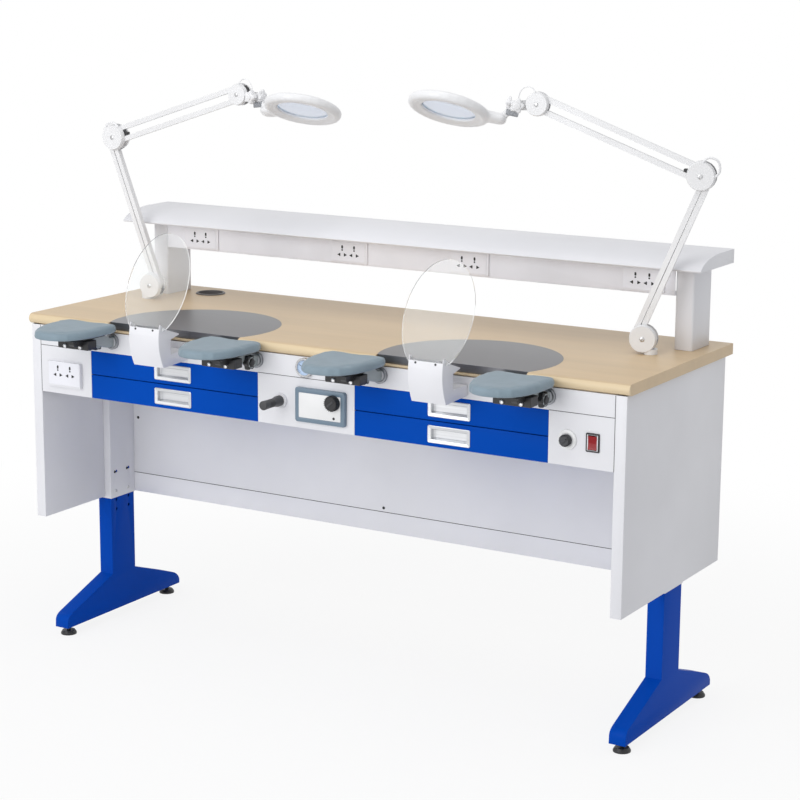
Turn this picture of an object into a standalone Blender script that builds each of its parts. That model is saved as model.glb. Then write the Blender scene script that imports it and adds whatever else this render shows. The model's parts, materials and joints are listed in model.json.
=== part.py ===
"""A laboratory workbench for two people, with drawers, armrests, suction boxes, shields and lamps.

Metres, +Z up.  X runs along the bench, -Y is the side where people sit, and the origin is on
the floor at the middle of the bench's box.  Depths are measured back from the worktop's front edge.
"""
from math import acos, cos, degrees, radians, sin, sqrt

import bmesh
import bpy
from mathutils import Matrix, Vector

for leftover in list(bpy.data.objects):
    bpy.data.objects.remove(leftover, do_unlink=True)

# Fits
GAP = 0.0003                 # seat between two pieces that touch
SEAM = 0.0006                # gap round a drawer front
SLIDE = 0.0006               # clearance of a column in its sleeve
SHEET = 0.0015               # folded sheet metal

# Worktop
WORKTOP_WIDTH = 1.600
WORKTOP_DEPTH = 0.560
WORKTOP_THICK = 0.025
WORKTOP_HEIGHT = 0.832
PAD_REACH = 0.190            # how far the armrest pads stand out in front

# Inset plates
PLATE_RADIUS = 0.205
PLATE_CENTRE = 0.095         # depth of the plate's centre
PLATE_CHORD = 0.012          # depth of its straight front edge
PLATE_FLANGE = 0.018         # height of the lip folded down in front

# Side panels, legs and feet
PANEL_OVERHANG = 0.006
PANEL_THICK = 0.026
PANEL_SETBACK = 0.004        # also the plane of all the fronts
PANEL_BACK = 0.028           # panel's back edge ahead of the worktop's
PANEL_BOTTOM = 0.324
COLUMN_WIDE = 0.040
COLUMN_DEEP = 0.094
COLUMN_FRONT = 0.2395
COLUMN_TOP = 0.520
SLEEVE_BOTTOM = 0.320
SLEEVE_TOP = 0.620
LEG_WALL = 0.0025
SOLE = 0.022                 # underside of the foot
TOE = 0.055
TOE_TALL = 0.059
HEEL = 0.525
HEEL_TALL = 0.061
INSTEP = 0.119               # where the toe's slope meets the column
BACKSTEP = 0.115
HOLE_RADIUS = 0.004
HOLE_PITCH = 0.025
HOLE_INSET = 0.022
HOLE_LOWEST = 0.2885
LEVELLER_RADIUS = 0.020
LEVELLER_TALL = 0.010
STUD_RADIUS = 0.005
STUD_IN = 0.012              # stud inside the foot as it stands
STUD_TRAVEL = 0.010
TOE_LEVELLER = 0.082
HEEL_LEVELLER = 0.494

# Modesty panel and rail
MODESTY_THICK = 0.014
MODESTY_BOTTOM = 0.3715
MODESTY_RAIL_TALL = 0.050

# Front: rail, boxes and drawers
RAIL_TALL = 0.049
RAIL_FLANGE = 0.030
COMPARTMENT_TALL = 0.1155
CENTRE_HALF = 0.130
END_BOX_WIDE = 0.1538
BOX_STEP = 0.040             # depth behind which the boxes rise to the worktop
DRAWER_FRONT_THICK = 0.017
DRAWER_SPLIT = 0.0022
TRAY_INSET = 0.013
TRAY_BACK = 0.330
TRAY_WALL = 0.002
TRAY_LIFT = 0.008
TRAY_TALL = 0.040
LEDGE_THICK = 0.003
LEDGE_UNDER = 0.006          # how far a runner reaches under its tray
HANDLE_WIDE = 0.095
HANDLE_TALL = 0.030
HANDLE_DEEP = 0.013
HANDLE_DROP = 0.0005

# Armrests
FLANGE_RADIUS = 0.0185
FLANGE_PROUD = 0.006
FLANGE_DROP = 0.0195         # centre below the worktop's underside
FLANGE_LEFT = -0.175
FLANGE_RIGHT = 0.239
BOSS_RADIUS = 0.013
BOSS_DEEP = 0.020
PIVOT_RADIUS = 0.008
ARM_WIDE = 0.014
ARM_ROOT_TALL = 0.022
ARM_TIP_TALL = 0.012
ARM_REACH = 0.150
PAD_THICK = 0.021
PAD_RISE = 0.002             # pad top above the worktop
PAD_BACK = 0.003             # gap between the nose and the pad
BRACKET_THICK = 0.005
BRACKET_REACH = 0.095
BRACKET_DEEP = 0.040
BRACKET_CENTRE = 0.095
CAP_RADIUS = 0.008
CAP_TALL = 0.007
STAR_RADIUS = 0.013
STAR_LONG = 0.012
STAR_PLACE = 0.043

# Suction boxes and shields
SUCTION_WIDE = 0.084
SUCTION_SHIFT = 0.003
SUCTION_TOP = 0.032          # above the worktop
SUCTION_LOW = 0.045          # below the worktop's underside
SUCTION_REACH = 0.101
SUCTION_BOW = 0.107
SUCTION_TOE = 0.090
DUCT_TALL = 0.024
CHIMNEY_BACK = 0.061
LIP_BACK = 0.030
SHIELD_HALF_WIDE = 0.084
SHIELD_HALF_TALL = 0.127
SHIELD_THICK = 0.003
SHIELD_LEAN = 24.4
SHIELD_FORWARD = 0.052
SHIELD_RISE = 0.112
SHIELD_CUT = 0.104           # flat bottom below the shield's centre

# Fittings on the fronts: place across, height below the worktop's underside
GAUGE_RADIUS = 0.022
GAUGE_PROUD = 0.008
GAUGE_DROP = 0.024
GUN_ACROSS = -0.0668
GUN_DROP = 0.107
GUN_COLLAR = 0.0175
GUN_COLLAR_PROUD = 0.006
GUN_STEM = 0.007
GUN_STEM_IN = 0.110
GUN_LONG = 0.068
GUN_GRIP = 0.0125
GUN_TIP = 0.0090
UNIT_ACROSS = 0.043
UNIT_WIDE = 0.132
UNIT_TALL = 0.078
UNIT_DROP = 0.1093
UNIT_PROUD = 0.008
MOTOR_ACROSS = 0.0797
MOTOR_DROP = 0.0955
MOTOR_RADIUS = 0.018
SELECTOR_INSET = 0.1091       # from the right side panel
SELECTOR_DROP = 0.108
SELECTOR_RING = 0.0195
SELECTOR_RADIUS = 0.0125
RING_PROUD = 0.004
KNOB_LONG = 0.015
SHAFT_RADIUS = 0.003
SHAFT_LONG = 0.0045
ROCKER_INSET = 0.0497
ROCKER_DROP = 0.1076
ROCKER_WIDE = 0.020
ROCKER_TALL = 0.029
ROCKER_FRAME_WIDE = 0.028
ROCKER_FRAME_TALL = 0.037
ROCKER_PIVOT = 0.008         # behind the fronts
ROCKER_POCKET = 0.0155
SOCKET_INSET = 0.074         # from the left side panel
SOCKET_DROP = 0.1155
SOCKET_WIDE = 0.106
SOCKET_TALL = 0.061
SOCKET_PROUD = 0.010

# Shelf, posts and socket rail
POST_WIDE = 0.045
POST_DEEP = 0.100
POST_BACK = 0.047            # post's back face ahead of the worktop's
POST_INNER = {"left": 0.686, "right": 0.717}
SHELF_HALF = 0.794
SHELF_BOTTOM = 1.0165
SHELF_THICK = 0.032
SHELF_DEEP = 0.191
SHELF_ROLL = 0.110           # depth of the rounded front
SHELF_LIP = 0.003
BAR_TALL = 0.062
BAR_BACK = 0.148             # rail's face ahead of the worktop's back edge
BAR_DEEP = 0.060
OUTLET_PLACES = (-0.580, -0.140, 0.192, 0.638)
OUTLET_WIDE = 0.108
OUTLET_TALL = 0.054
OUTLET_PROUD = 0.004

# Grommet
GROMMET_ACROSS = -0.604
GROMMET_BACK = 0.078         # centre ahead of the worktop's back edge
GROMMET_RADIUS = 0.034
GROMMET_RIM = 0.004
GROMMET_RIM_TALL = 0.003
GROMMET_WALL = 0.002

# Lamps
LAMP_PIN_ACROSS = 0.694
LAMP_PIN_DEPTH = 0.338
LAMP_PIN_RADIUS = 0.006
LAMP_PIN_LONG = 0.018
LAMP_FOOT_RADIUS = 0.016
LAMP_FOOT_TALL = 0.012
LAMP_OFFSET = 0.016          # knuckle inward of its pin
LAMP_PIVOT_RISE = 0.0345
LOWER_LONG = 0.380
LOWER_RISE = {"left": 69.1, "right": 67.6}
LOWER_WIDE = 0.024
LOWER_SLIT = 0.002
UPPER_LONG = 0.370
UPPER_RISE = {"left": 18.1, "right": 21.7}
UPPER_WIDE = 0.012
BAR_THICK = 0.014
BAR_CLEAR = 0.0008           # bar to knuckle cap
CAP_THICK = 0.010
BASE_DRUM = 0.032
ELBOW_DRUM = 0.033
HEAD_DRUM = 0.027
WEB_THICK = 0.0055
HINGE_PIN = 0.0032
BASE_PIN = (0.0162, 0.0050)      # in the base, inward and up from its centre
LOWER_PIN = (-0.0122, -0.0080)   # in the elbow
TOP_PIN = (0.014, 0.022)
PIN_PITCH = 0.030
HEAD_PIN_INSET = 0.010
HEAD_PIVOT_REACH = 0.046
HEAD_PIVOT_DROP = 0.004
HEAD_LUG = 0.010
HEAD_CENTRE = 0.148          # ring's centre from the tilt pivot
HEAD_SINK = 0.038            # and below it
HEAD_RADIUS = 0.094
HEAD_TALL = 0.025
HEAD_ROLL = -22.5            # front edge up
HEAD_YAW = 10.0              # neck turned to the front
TAIL_END = 0.018             # end of the head's tail from the tilt pivot
TAIL_HALF_WIDE = 0.021
TAIL_HALF_TALL = 0.0125
LENS_RADIUS = 0.0635
LENS_EDGE = 0.006
LENS_CROWN = 0.006
LENS_SEAT = 0.003
LAMP_SWING = {"left": 1.2, "right": 12.8}
HEAD_SLOPE = {"left": -7.0, "right": 11.2}

# Places worked out from the sizes above
FRONT = (PAD_REACH - WORKTOP_DEPTH) / 2
BACK = FRONT + WORKTOP_DEPTH
TOP = WORKTOP_HEIGHT
UNDER = TOP - WORKTOP_THICK
FACE = FRONT + PANEL_SETBACK
PANEL_OUT = WORKTOP_WIDTH / 2 - PANEL_OVERHANG
PANEL_IN = PANEL_OUT - PANEL_THICK
SELECTOR_ACROSS = PANEL_IN - SELECTOR_INSET
ROCKER_ACROSS = PANEL_IN - ROCKER_INSET
SOCKET_ACROSS = SOCKET_INSET - PANEL_IN
SLEEVE_WALL = SHEET + SLIDE
SLEEVE_OUT = PANEL_OUT - SHEET - 2 * GAP
SLEEVE_IN = SLEEVE_OUT - COLUMN_WIDE - 2 * SLEEVE_WALL
COLUMN_CENTRE = (SLEEVE_IN + SLEEVE_OUT) / 2
COLUMN_Y = (FRONT + COLUMN_FRONT, FRONT + COLUMN_FRONT + COLUMN_DEEP)
SLEEVE_Y = (COLUMN_Y[0] - SLEEVE_WALL, COLUMN_Y[1] + SLEEVE_WALL)
MODESTY_FRONT = SLEEVE_Y[1] + GAP
RAIL_BOTTOM = UNDER - RAIL_TALL
BOX_TOP = RAIL_BOTTOM - GAP
BOX_BOTTOM = BOX_TOP - COMPARTMENT_TALL
BOX_BACK = MODESTY_FRONT - GAP
END_IN = PANEL_IN - GAP - END_BOX_WIDE
DRAWER_IN = CENTRE_HALF + SEAM
DRAWER_OUT = END_IN - SEAM
STATION = (DRAWER_IN + DRAWER_OUT) / 2
FLANGE_Z = UNDER - FLANGE_DROP
PAD_BOTTOM = TOP + PAD_RISE - PAD_THICK
SHELF_TOP = SHELF_BOTTOM + SHELF_THICK
SIDES = (("left", -1), ("right", 1))

# Finishes: colour, roughness, metallic
WHITE = ((0.76, 0.76, 0.79), 0.42, 0.0)
BEIGE = ((0.64, 0.50, 0.34), 0.45, 0.0)
BLUE = ((0.004, 0.060, 0.45), 0.38, 0.0)
STEEL = ((0.42, 0.42, 0.43), 0.35, 1.0)
LAVENDER = ((0.55, 0.56, 0.62), 0.45, 0.0)
PADDING = ((0.26, 0.35, 0.40), 0.60, 0.0)
BLACK = ((0.015, 0.015, 0.016), 0.45, 0.0)
RED = ((0.55, 0.02, 0.02), 0.35, 0.0)
CLEAR = ((0.80, 0.90, 0.86), 0.05, 0.0)

PARTS = bpy.data.collections.new("lab_workbench")
CUTTERS = bpy.data.collections.new("lab_workbench_cutters")
bpy.context.scene.collection.children.link(PARTS)
bpy.context.scene.collection.children.link(CUTTERS)


def finished(form, name="form"):
    """Closes a bmesh into a mesh whose faces point out."""
    form.normal_update()
    bmesh.ops.recalc_face_normals(form, faces=form.faces)
    mesh = bpy.data.meshes.new(name)
    form.to_mesh(mesh)
    form.free()
    return mesh


def read_back(item):
    """The mesh that an object's modifiers or bevel make, welded; the object is removed."""
    bpy.context.scene.collection.objects.link(item)
    graph = bpy.context.evaluated_depsgraph_get()
    raw = bpy.data.meshes.new_from_object(item.evaluated_get(graph))
    bpy.data.objects.remove(item, do_unlink=True)
    form = bmesh.new()
    form.from_mesh(raw)
    bmesh.ops.remove_doubles(form, verts=form.verts, dist=0.00001)
    return form


def block(x, y, z):
    """A box between three pairs of limits."""
    form = bmesh.new()
    bmesh.ops.create_cube(form, size=1.0)
    bmesh.ops.scale(form, vec=(x[1] - x[0], y[1] - y[0], z[1] - z[0]), verts=form.verts)
    middle = Vector((x[0] + x[1], y[0] + y[1], z[0] + z[1])) / 2
    bmesh.ops.translate(form, vec=middle, verts=form.verts)
    return finished(form)


def rod(axis, across, span, radius, far_radius=None, sides=24):
    """A cylinder or cone along an axis; across gives the two other coordinates in order."""
    form = bmesh.new()
    last = radius if far_radius is None else far_radius
    bmesh.ops.create_cone(form, cap_ends=True, segments=sides, radius1=radius, radius2=last,
                          depth=span[1] - span[0])
    middle = (span[0] + span[1]) / 2
    if axis == "X":
        turn = Matrix.Rotation(radians(90), 4, "Y")
        place = (middle, across[0], across[1])
    elif axis == "Y":
        turn = Matrix.Rotation(radians(-90), 4, "X")
        place = (across[0], middle, across[1])
    else:
        turn = Matrix.Identity(4)
        place = (across[0], across[1], middle)
    bmesh.ops.transform(form, matrix=Matrix.Translation(place) @ turn, verts=form.verts)
    return finished(form)


def plate(axis, outline, span):
    """A flat outline thickened along an axis; its points are the two other coordinates in order."""
    curve = bpy.data.curves.new("outline", "CURVE")
    curve.dimensions = "2D"
    curve.fill_mode = "BOTH"
    curve.extrude = (span[1] - span[0]) / 2
    spline = curve.splines.new("POLY")
    spline.points.add(len(outline) - 1)
    for point, (a, b) in zip(spline.points, outline):
        point.co = (a, b, 0, 1)
    spline.use_cyclic_u = True
    form = read_back(bpy.data.objects.new("outline", curve))
    middle = (span[0] + span[1]) / 2
    columns = {"X": ((0, 0, 1), (1, 0, 0), (0, 1, 0)),
               "Y": ((1, 0, 0), (0, 0, 1), (0, 1, 0)),
               "Z": ((1, 0, 0), (0, 1, 0), (0, 0, 1))}[axis]
    for vert in form.verts:
        flat = (vert.co.x, vert.co.y, vert.co.z + middle)
        vert.co = [sum(row[k] * flat[k] for k in range(3)) for row in columns]
    return finished(form)


def turned(profile, steps, turn=Matrix.Identity(4)):
    """A profile of (radius, height) points, top to bottom, turned about Z and then placed."""
    mesh = bpy.data.meshes.new("profile")
    closed = profile[0][0] > 0
    form = bmesh.new()
    verts = [form.verts.new((r, 0, z)) for r, z in profile]
    ends = verts[1:] + verts[:1] if closed else verts[1:]
    for a, b in zip(verts, ends):
        form.edges.new((a, b))
    form.to_mesh(mesh)
    form.free()
    item = bpy.data.objects.new("profile", mesh)
    screw = item.modifiers.new("turn", "SCREW")
    screw.steps = steps
    screw.render_steps = steps
    screw.use_merge_vertices = True
    screw.merge_threshold = 0.00001
    form = read_back(item)
    bmesh.ops.transform(form, matrix=turn, verts=form.verts)
    return finished(form)


def loft(rings):
    """A closed solid through rings of the same number of points, capped at both ends."""
    form = bmesh.new()
    rows = [[form.verts.new(point) for point in ring] for ring in rings]
    count = len(rows[0])
    for low, high in zip(rows, rows[1:]):
        for k in range(count):
            n = (k + 1) % count
            form.faces.new((low[k], low[n], high[n], high[k]))
    form.faces.new(rows[0][::-1])
    form.faces.new(rows[-1])
    return finished(form)


def tube(points, radius):
    """A round cord bent along a smooth line through a few points."""
    curve = bpy.data.curves.new("tube", "CURVE")
    curve.dimensions = "3D"
    curve.bevel_depth = radius
    curve.bevel_resolution = 1
    curve.use_fill_caps = True
    line = smooth_line(points, 3)
    spline = curve.splines.new("POLY")
    spline.points.add(len(line) - 1)
    for point, place in zip(spline.points, line):
        point.co = (*place, 1)
    return finished(read_back(bpy.data.objects.new("tube", curve)))


def together(meshes):
    """Several separate forms as one mesh, for a tool that works in many places."""
    form = bmesh.new()
    for mesh in meshes:
        form.from_mesh(mesh)
    return finished(form)


def arc(centre, radius, start, end, steps):
    """Points on an arc, with its angles in degrees."""
    angles = [radians(start + (end - start) * k / steps) for k in range(steps + 1)]
    return [(centre[0] + radius * cos(a), centre[1] + radius * sin(a)) for a in angles]


def bend(start, corner, end, steps):
    """Points on a curve from start to end that is pulled towards a corner."""
    points = []
    for k in range(steps + 1):
        t = k / steps
        weights = ((1 - t) ** 2, 2 * t * (1 - t), t ** 2)
        points.append(tuple(sum(w * p[i] for w, p in zip(weights, (start, corner, end)))
                            for i in range(2)))
    return points


def rounded(x, z, radius, steps=4):
    """A rectangle with round corners."""
    corners = ((x[1] - radius, z[1] - radius, 0), (x[0] + radius, z[1] - radius, 90),
               (x[0] + radius, z[0] + radius, 180), (x[1] - radius, z[0] + radius, 270))
    points = []
    for cx, cz, angle in corners:
        points += arc((cx, cz), radius, angle, angle + 90, steps)
    return points


def smooth_step(a, b, c, d, t):
    """One point of a smooth line between b and c."""
    return tuple(0.5 * (2 * q + (r - p) * t + (2 * p - 5 * q + 4 * r - s) * t * t
                        + (3 * q - p - 3 * r + s) * t ** 3) for p, q, r, s in zip(a, b, c, d))


def smooth_loop(points, steps):
    """A closed smooth line through points, with a number of steps between each two."""
    count = len(points)
    return [smooth_step(points[k - 1], points[k], points[(k + 1) % count], points[(k + 2) % count],
                        j / steps) for k in range(count) for j in range(steps)]


def smooth_line(points, steps):
    """A smooth line through points from the first to the last."""
    ends = [points[0], *points, points[-1]]
    line = [smooth_step(*ends[k:k + 4], j / steps) for k in range(len(points) - 1)
            for j in range(steps)]
    return line + [tuple(points[-1])]


def paint(name, finish):
    """A plain finish of a sub-part."""
    colour, roughness, metallic = finish
    material = bpy.data.materials.new(name + "_finish")
    material.use_nodes = True
    shader = material.node_tree.nodes["Principled BSDF"]
    shader.inputs["Base Color"].default_value = (*colour, 1)
    shader.inputs["Roughness"].default_value = roughness
    shader.inputs["Metallic"].default_value = metallic
    return material


def add(name, mesh, finish, at=(0, 0, 0), turn=(0, 0, 0), parent=None):
    """A sub-part, made round its own origin and placed there."""
    mesh.name = name
    mesh.materials.append(paint(name, finish))
    mesh.shade_smooth()
    mesh.set_sharp_from_angle(angle=radians(35))
    item = bpy.data.objects.new(name, mesh)
    item.location = at
    item.rotation_euler = [radians(angle) for angle in turn]
    item.parent = parent
    PARTS.objects.link(item)
    return item


def combine(item, mesh, operation):
    """Joins a form to a sub-part, or cuts it away; the form uses the sub-part's coordinates."""
    tool = bpy.data.objects.new(item.name + "_" + operation.lower(), mesh)
    tool.parent = item
    tool.hide_render = True
    tool.display_type = "WIRE"
    CUTTERS.objects.link(tool)
    step = item.modifiers.new(operation.lower(), "BOOLEAN")
    step.operation = operation
    step.solver = "EXACT"
    step.object = tool


def join(item, *meshes):
    for mesh in meshes:
        combine(item, mesh, "UNION")


def cut(item, *meshes):
    for mesh in meshes:
        combine(item, mesh, "DIFFERENCE")


def mirrored(limits, side):
    """A pair of limits on the right, or its mirror image on the left."""
    return limits if side > 0 else (-limits[1], -limits[0])


def plate_outline(station, grow):
    """An inset plate from above: a circle cut off straight in front."""
    radius = PLATE_RADIUS + grow
    ahead = PLATE_CENTRE - PLATE_CHORD
    angle = degrees(acos(-ahead / radius))
    points = arc((0, 0), radius, -angle + 90, angle + 90, 44)
    return [(station + x, FRONT + PLATE_CENTRE + y) for x, y in points]


def plate_half():
    return sqrt(PLATE_RADIUS ** 2 - (PLATE_CENTRE - PLATE_CHORD) ** 2)


def make_worktop():
    nose = WORKTOP_THICK / 2
    profile = arc((FRONT + nose, UNDER + nose), nose, 90, 270, 8)
    back = FRONT + WORKTOP_DEPTH
    profile += [(back, UNDER), (back, TOP)]
    half = WORKTOP_WIDTH / 2
    top = add("worktop", plate("X", profile, (-half, half)), BEIGE)
    bores = [rod("Z", (GROMMET_ACROSS, BACK - GROMMET_BACK), (UNDER - 0.01, TOP + 0.01),
                 GROMMET_RADIUS + GAP, sides=28)]
    for name, side in SIDES:
        station = side * STATION
        floor = TOP - SHEET - GAP
        cut(top, plate("Z", plate_outline(station, GAP), (floor, TOP + 0.01)))
        reach = plate_half() + GAP
        cut(top, block((station - reach, station + reach),
                       (FRONT - 0.01, FRONT + PLATE_CHORD + SHEET + GAP),
                       (TOP - PLATE_FLANGE - GAP, TOP + 0.01)))
        bores.append(rod("Z", (side * LAMP_PIN_ACROSS, FRONT + LAMP_PIN_DEPTH),
                         (TOP - LAMP_PIN_LONG - 0.002, TOP + 0.01), LAMP_PIN_RADIUS + GAP, sides=16))
    cut(top, together(bores))


def make_inset_plates():
    for name, side in SIDES:
        station = side * STATION
        sheet = add("inset_plate_" + name, plate("Z", plate_outline(station, 0), (TOP - SHEET, TOP)),
                    STEEL)
        half = plate_half() - GAP
        lip = FRONT + PLATE_CHORD
        join(sheet, block((station - half, station + half), (lip + GAP / 2, lip + SHEET),
                          (TOP - PLATE_FLANGE, TOP - SHEET / 2)))


def make_side_panels():
    y = (FACE, BACK - PANEL_BACK)
    for name, side in SIDES:
        panel = add("side_panel_" + name, block(mirrored((PANEL_IN, PANEL_OUT), side), y,
                                                (PANEL_BOTTOM, UNDER - GAP)), WHITE)
        cut(panel, block(mirrored((PANEL_IN + SHEET, PANEL_OUT - SHEET), side),
                         (y[0] + SHEET, y[1] - SHEET), (PANEL_BOTTOM + SHEET, UNDER + 0.01)))
        cut(panel, block(mirrored((PANEL_IN - 0.01, SLEEVE_OUT + GAP), side),
                         (SLEEVE_Y[0] - GAP, SLEEVE_Y[1] + GAP),
                         (PANEL_BOTTOM - 0.01, SLEEVE_TOP + GAP)))


def make_modesty():
    half = PANEL_IN - GAP
    y = (MODESTY_FRONT, MODESTY_FRONT + MODESTY_THICK)
    add("modesty_panel", block((-half, half), y, (MODESTY_BOTTOM, UNDER - GAP)), LAVENDER)
    top = MODESTY_BOTTOM - GAP
    z = (top - MODESTY_RAIL_TALL, top)
    rail = add("modesty_rail", block((-half, half), y, z), LAVENDER)
    cut(rail, block((-half - 0.01, half + 0.01), (y[0] + SHEET, y[1] + 0.01),
                    (z[0] + SHEET, z[1] - SHEET)))


def foot_slope(depth):
    """Height of the foot's upper line, in front of the column and behind it."""
    if depth < COLUMN_FRONT:
        share = (depth - TOE - 0.020) / (COLUMN_FRONT - TOE - 0.020)
        return TOE_TALL + share * (INSTEP - TOE_TALL)
    start = COLUMN_FRONT + COLUMN_DEEP
    share = (depth - start) / (HEEL - 0.034 - start)
    return BACKSTEP + share * (HEEL_TALL - BACKSTEP)


def leg_outline():
    """Side view of a leg: toe, column and heel."""
    back = COLUMN_FRONT + COLUMN_DEEP
    points = [(TOE, SOLE)]
    points += bend((TOE + 0.001, 0.042), (TOE + 0.003, 0.053), (TOE + 0.020, foot_slope(TOE + 0.020)), 4)
    points += [(COLUMN_FRONT, INSTEP), (COLUMN_FRONT, COLUMN_TOP), (back, COLUMN_TOP), (back, BACKSTEP)]
    points += bend((HEEL - 0.034, HEEL_TALL), (HEEL - 0.006, HEEL_TALL - 0.009), (HEEL, SOLE + 0.012), 4)
    points.append((HEEL, SOLE))
    return [(FRONT + depth, height) for depth, height in points]


def leg_hollow():
    """Side view of the space inside a leg, open below and above."""
    back = COLUMN_FRONT + COLUMN_DEEP
    near = TOE_LEVELLER + 0.027
    far = HEEL_LEVELLER - 0.032
    points = [(near, SOLE - 0.01), (near, foot_slope(near) - LEG_WALL),
              (COLUMN_FRONT + LEG_WALL, INSTEP - LEG_WALL),
              (COLUMN_FRONT + LEG_WALL, COLUMN_TOP + 0.01), (back - LEG_WALL, COLUMN_TOP + 0.01),
              (back - LEG_WALL, BACKSTEP - LEG_WALL), (far, foot_slope(far) - LEG_WALL),
              (far, SOLE - 0.01)]
    return [(FRONT + depth, height) for depth, height in points]


def make_legs():
    half = COLUMN_WIDE / 2
    for name, side in SIDES:
        x = (COLUMN_CENTRE - half, COLUMN_CENTRE + half)
        inner = mirrored((x[0] - 0.01, x[0] + 0.01), side)
        sleeve = add("leg_sleeve_" + name, block(mirrored((SLEEVE_IN, SLEEVE_OUT), side), SLEEVE_Y,
                                                 (SLEEVE_BOTTOM, SLEEVE_TOP)), LAVENDER)
        cut(sleeve, block(mirrored((x[0] - SLIDE, x[1] + SLIDE), side),
                          (COLUMN_Y[0] - SLIDE, COLUMN_Y[1] + SLIDE),
                          (SLEEVE_BOTTOM - 0.01, SLEEVE_TOP + 0.01)))
        places = (COLUMN_Y[0] + HOLE_INSET, COLUMN_Y[1] - HOLE_INSET)
        cut(sleeve, together([rod("X", (y, HOLE_LOWEST + 4 * HOLE_PITCH), inner, HOLE_RADIUS, sides=8)
                              for y in places]))
        leg = add("leg_" + name, plate("X", leg_outline(), mirrored(x, side)), BLUE)
        cut(leg, plate("X", leg_hollow(), mirrored((x[0] + LEG_WALL, x[1] - LEG_WALL), side)))
        holes = [rod("X", (y, HOLE_LOWEST + k * HOLE_PITCH), inner, HOLE_RADIUS, sides=8)
                 for y in places for k in range(4)]
        holes += [rod("Z", (side * COLUMN_CENTRE, FRONT + depth),
                      (SOLE - 0.01, SOLE + STUD_IN + STUD_TRAVEL + 0.002), STUD_RADIUS + GAP, sides=12)
                  for depth in (TOE_LEVELLER, HEEL_LEVELLER)]
        cut(leg, together(holes))
        for end, depth in (("front", TOE_LEVELLER), ("back", HEEL_LEVELLER)):
            profile = [(0, SOLE + STUD_IN), (STUD_RADIUS, SOLE + STUD_IN), (STUD_RADIUS, LEVELLER_TALL),
                       (LEVELLER_RADIUS - 0.004, LEVELLER_TALL), (LEVELLER_RADIUS, 0.004),
                       (LEVELLER_RADIUS, 0), (0, 0)]
            add("leveller_" + name + "_" + end, turned(profile, 16), BLACK,
                at=(side * COLUMN_CENTRE, FRONT + depth, 0))


def arm_places():
    """Where the four armrests turn, along the bench, with the side of each one's knob."""
    return [(side * STATION + across, hand) for name, side in SIDES
            for across, hand in ((FLANGE_LEFT, -1), (FLANGE_RIGHT, 1))]


def make_front_rail():
    half = PANEL_IN - GAP
    y = (FACE, FACE + RAIL_FLANGE)
    rail = add("front_rail", block((-half, half), y, (RAIL_BOTTOM, UNDER - GAP)), WHITE)
    cut(rail, block((-half - 0.01, half + 0.01), (y[0] + SHEET, y[1] + 0.01),
                    (RAIL_BOTTOM + SHEET, UNDER - GAP - SHEET)))
    join(rail, together([rod("Y", (x, FLANGE_Z), (FACE - FLANGE_PROUD, FACE + SHEET / 2), FLANGE_RADIUS,
                             sides=20) for x, hand in arm_places()]))
    join(rail, together([rod("Y", (x, FLANGE_Z), (FACE - SHEET, FACE + BOSS_DEEP), BOSS_RADIUS, sides=12)
                         for x, hand in arm_places()]))
    cut(rail, together([rod("Y", (x, FLANGE_Z), (FACE - 0.02, FACE + BOSS_DEEP - 0.003),
                            PIVOT_RADIUS + GAP, sides=12) for x, hand in arm_places()]))
    dial = (0, UNDER - GAUGE_DROP)
    join(rail, rod("Y", dial, (FACE - GAUGE_PROUD, FACE + SHEET / 2), GAUGE_RADIUS, sides=28))
    cut(rail, rod("Y", dial, (FACE - GAUGE_PROUD - 0.01, FACE - GAUGE_PROUD + 0.002),
                  GAUGE_RADIUS - 0.004, sides=28))


def ledges(wall, inward):
    """Runners on a box's side wall that carry the upper and the lower drawer's tray."""
    reach = SEAM + TRAY_INSET + LEDGE_UNDER
    x = (wall - SHEET / 2, wall + reach) if inward > 0 else (wall - reach, wall + SHEET / 2)
    y = (FACE + DRAWER_FRONT_THICK + 0.012, BOX_BACK)
    tops = [low + TRAY_LIFT - GAP for low, high in drawer_levels()]
    return [block(x, y, (top - LEDGE_THICK, top)) for top in tops]


def drawer_levels():
    """Bottom and top of the lower and the upper drawer front."""
    tall = (COMPARTMENT_TALL - DRAWER_SPLIT) / 2
    return ((BOX_BOTTOM, BOX_BOTTOM + tall), (BOX_TOP - tall, BOX_TOP))


def box_shell(name, x, body):
    """A sheet box behind a front plate, open behind, that rises to the worktop at the back."""
    box = add(name, block(x, (FACE, FACE + SHEET), (BOX_BOTTOM, BOX_TOP)), WHITE)
    step = FRONT + BOX_STEP
    outline = [(FACE + SHEET / 2, BOX_BOTTOM), (BOX_BACK, BOX_BOTTOM), (BOX_BACK, UNDER - GAP),
               (step, UNDER - GAP), (step, BOX_TOP), (FACE + SHEET / 2, BOX_TOP)]
    inside = [(FACE + SHEET, BOX_BOTTOM + SHEET), (BOX_BACK + 0.01, BOX_BOTTOM + SHEET),
              (BOX_BACK + 0.01, UNDER - GAP - SHEET), (step + SHEET, UNDER - GAP - SHEET),
              (step + SHEET, BOX_TOP - SHEET), (FACE + SHEET, BOX_TOP - SHEET)]
    join(box, plate("X", outline, body))
    cut(box, plate("X", inside, (body[0] + SHEET, body[1] - SHEET)))
    return box


def make_socket_box():
    x = (-PANEL_IN + GAP, -END_IN)
    body = (-SLEEVE_IN + GAP, -END_IN)
    box = box_shell("socket_box", x, body)
    join(box, *ledges(-END_IN, 1))
    z = UNDER - SOCKET_DROP
    outline = rounded((SOCKET_ACROSS - SOCKET_WIDE / 2, SOCKET_ACROSS + SOCKET_WIDE / 2),
                      (z - SOCKET_TALL / 2, z + SOCKET_TALL / 2), 0.004)
    join(box, plate("Y", outline, (FACE - SOCKET_PROUD, FACE + SHEET / 2)))


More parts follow.
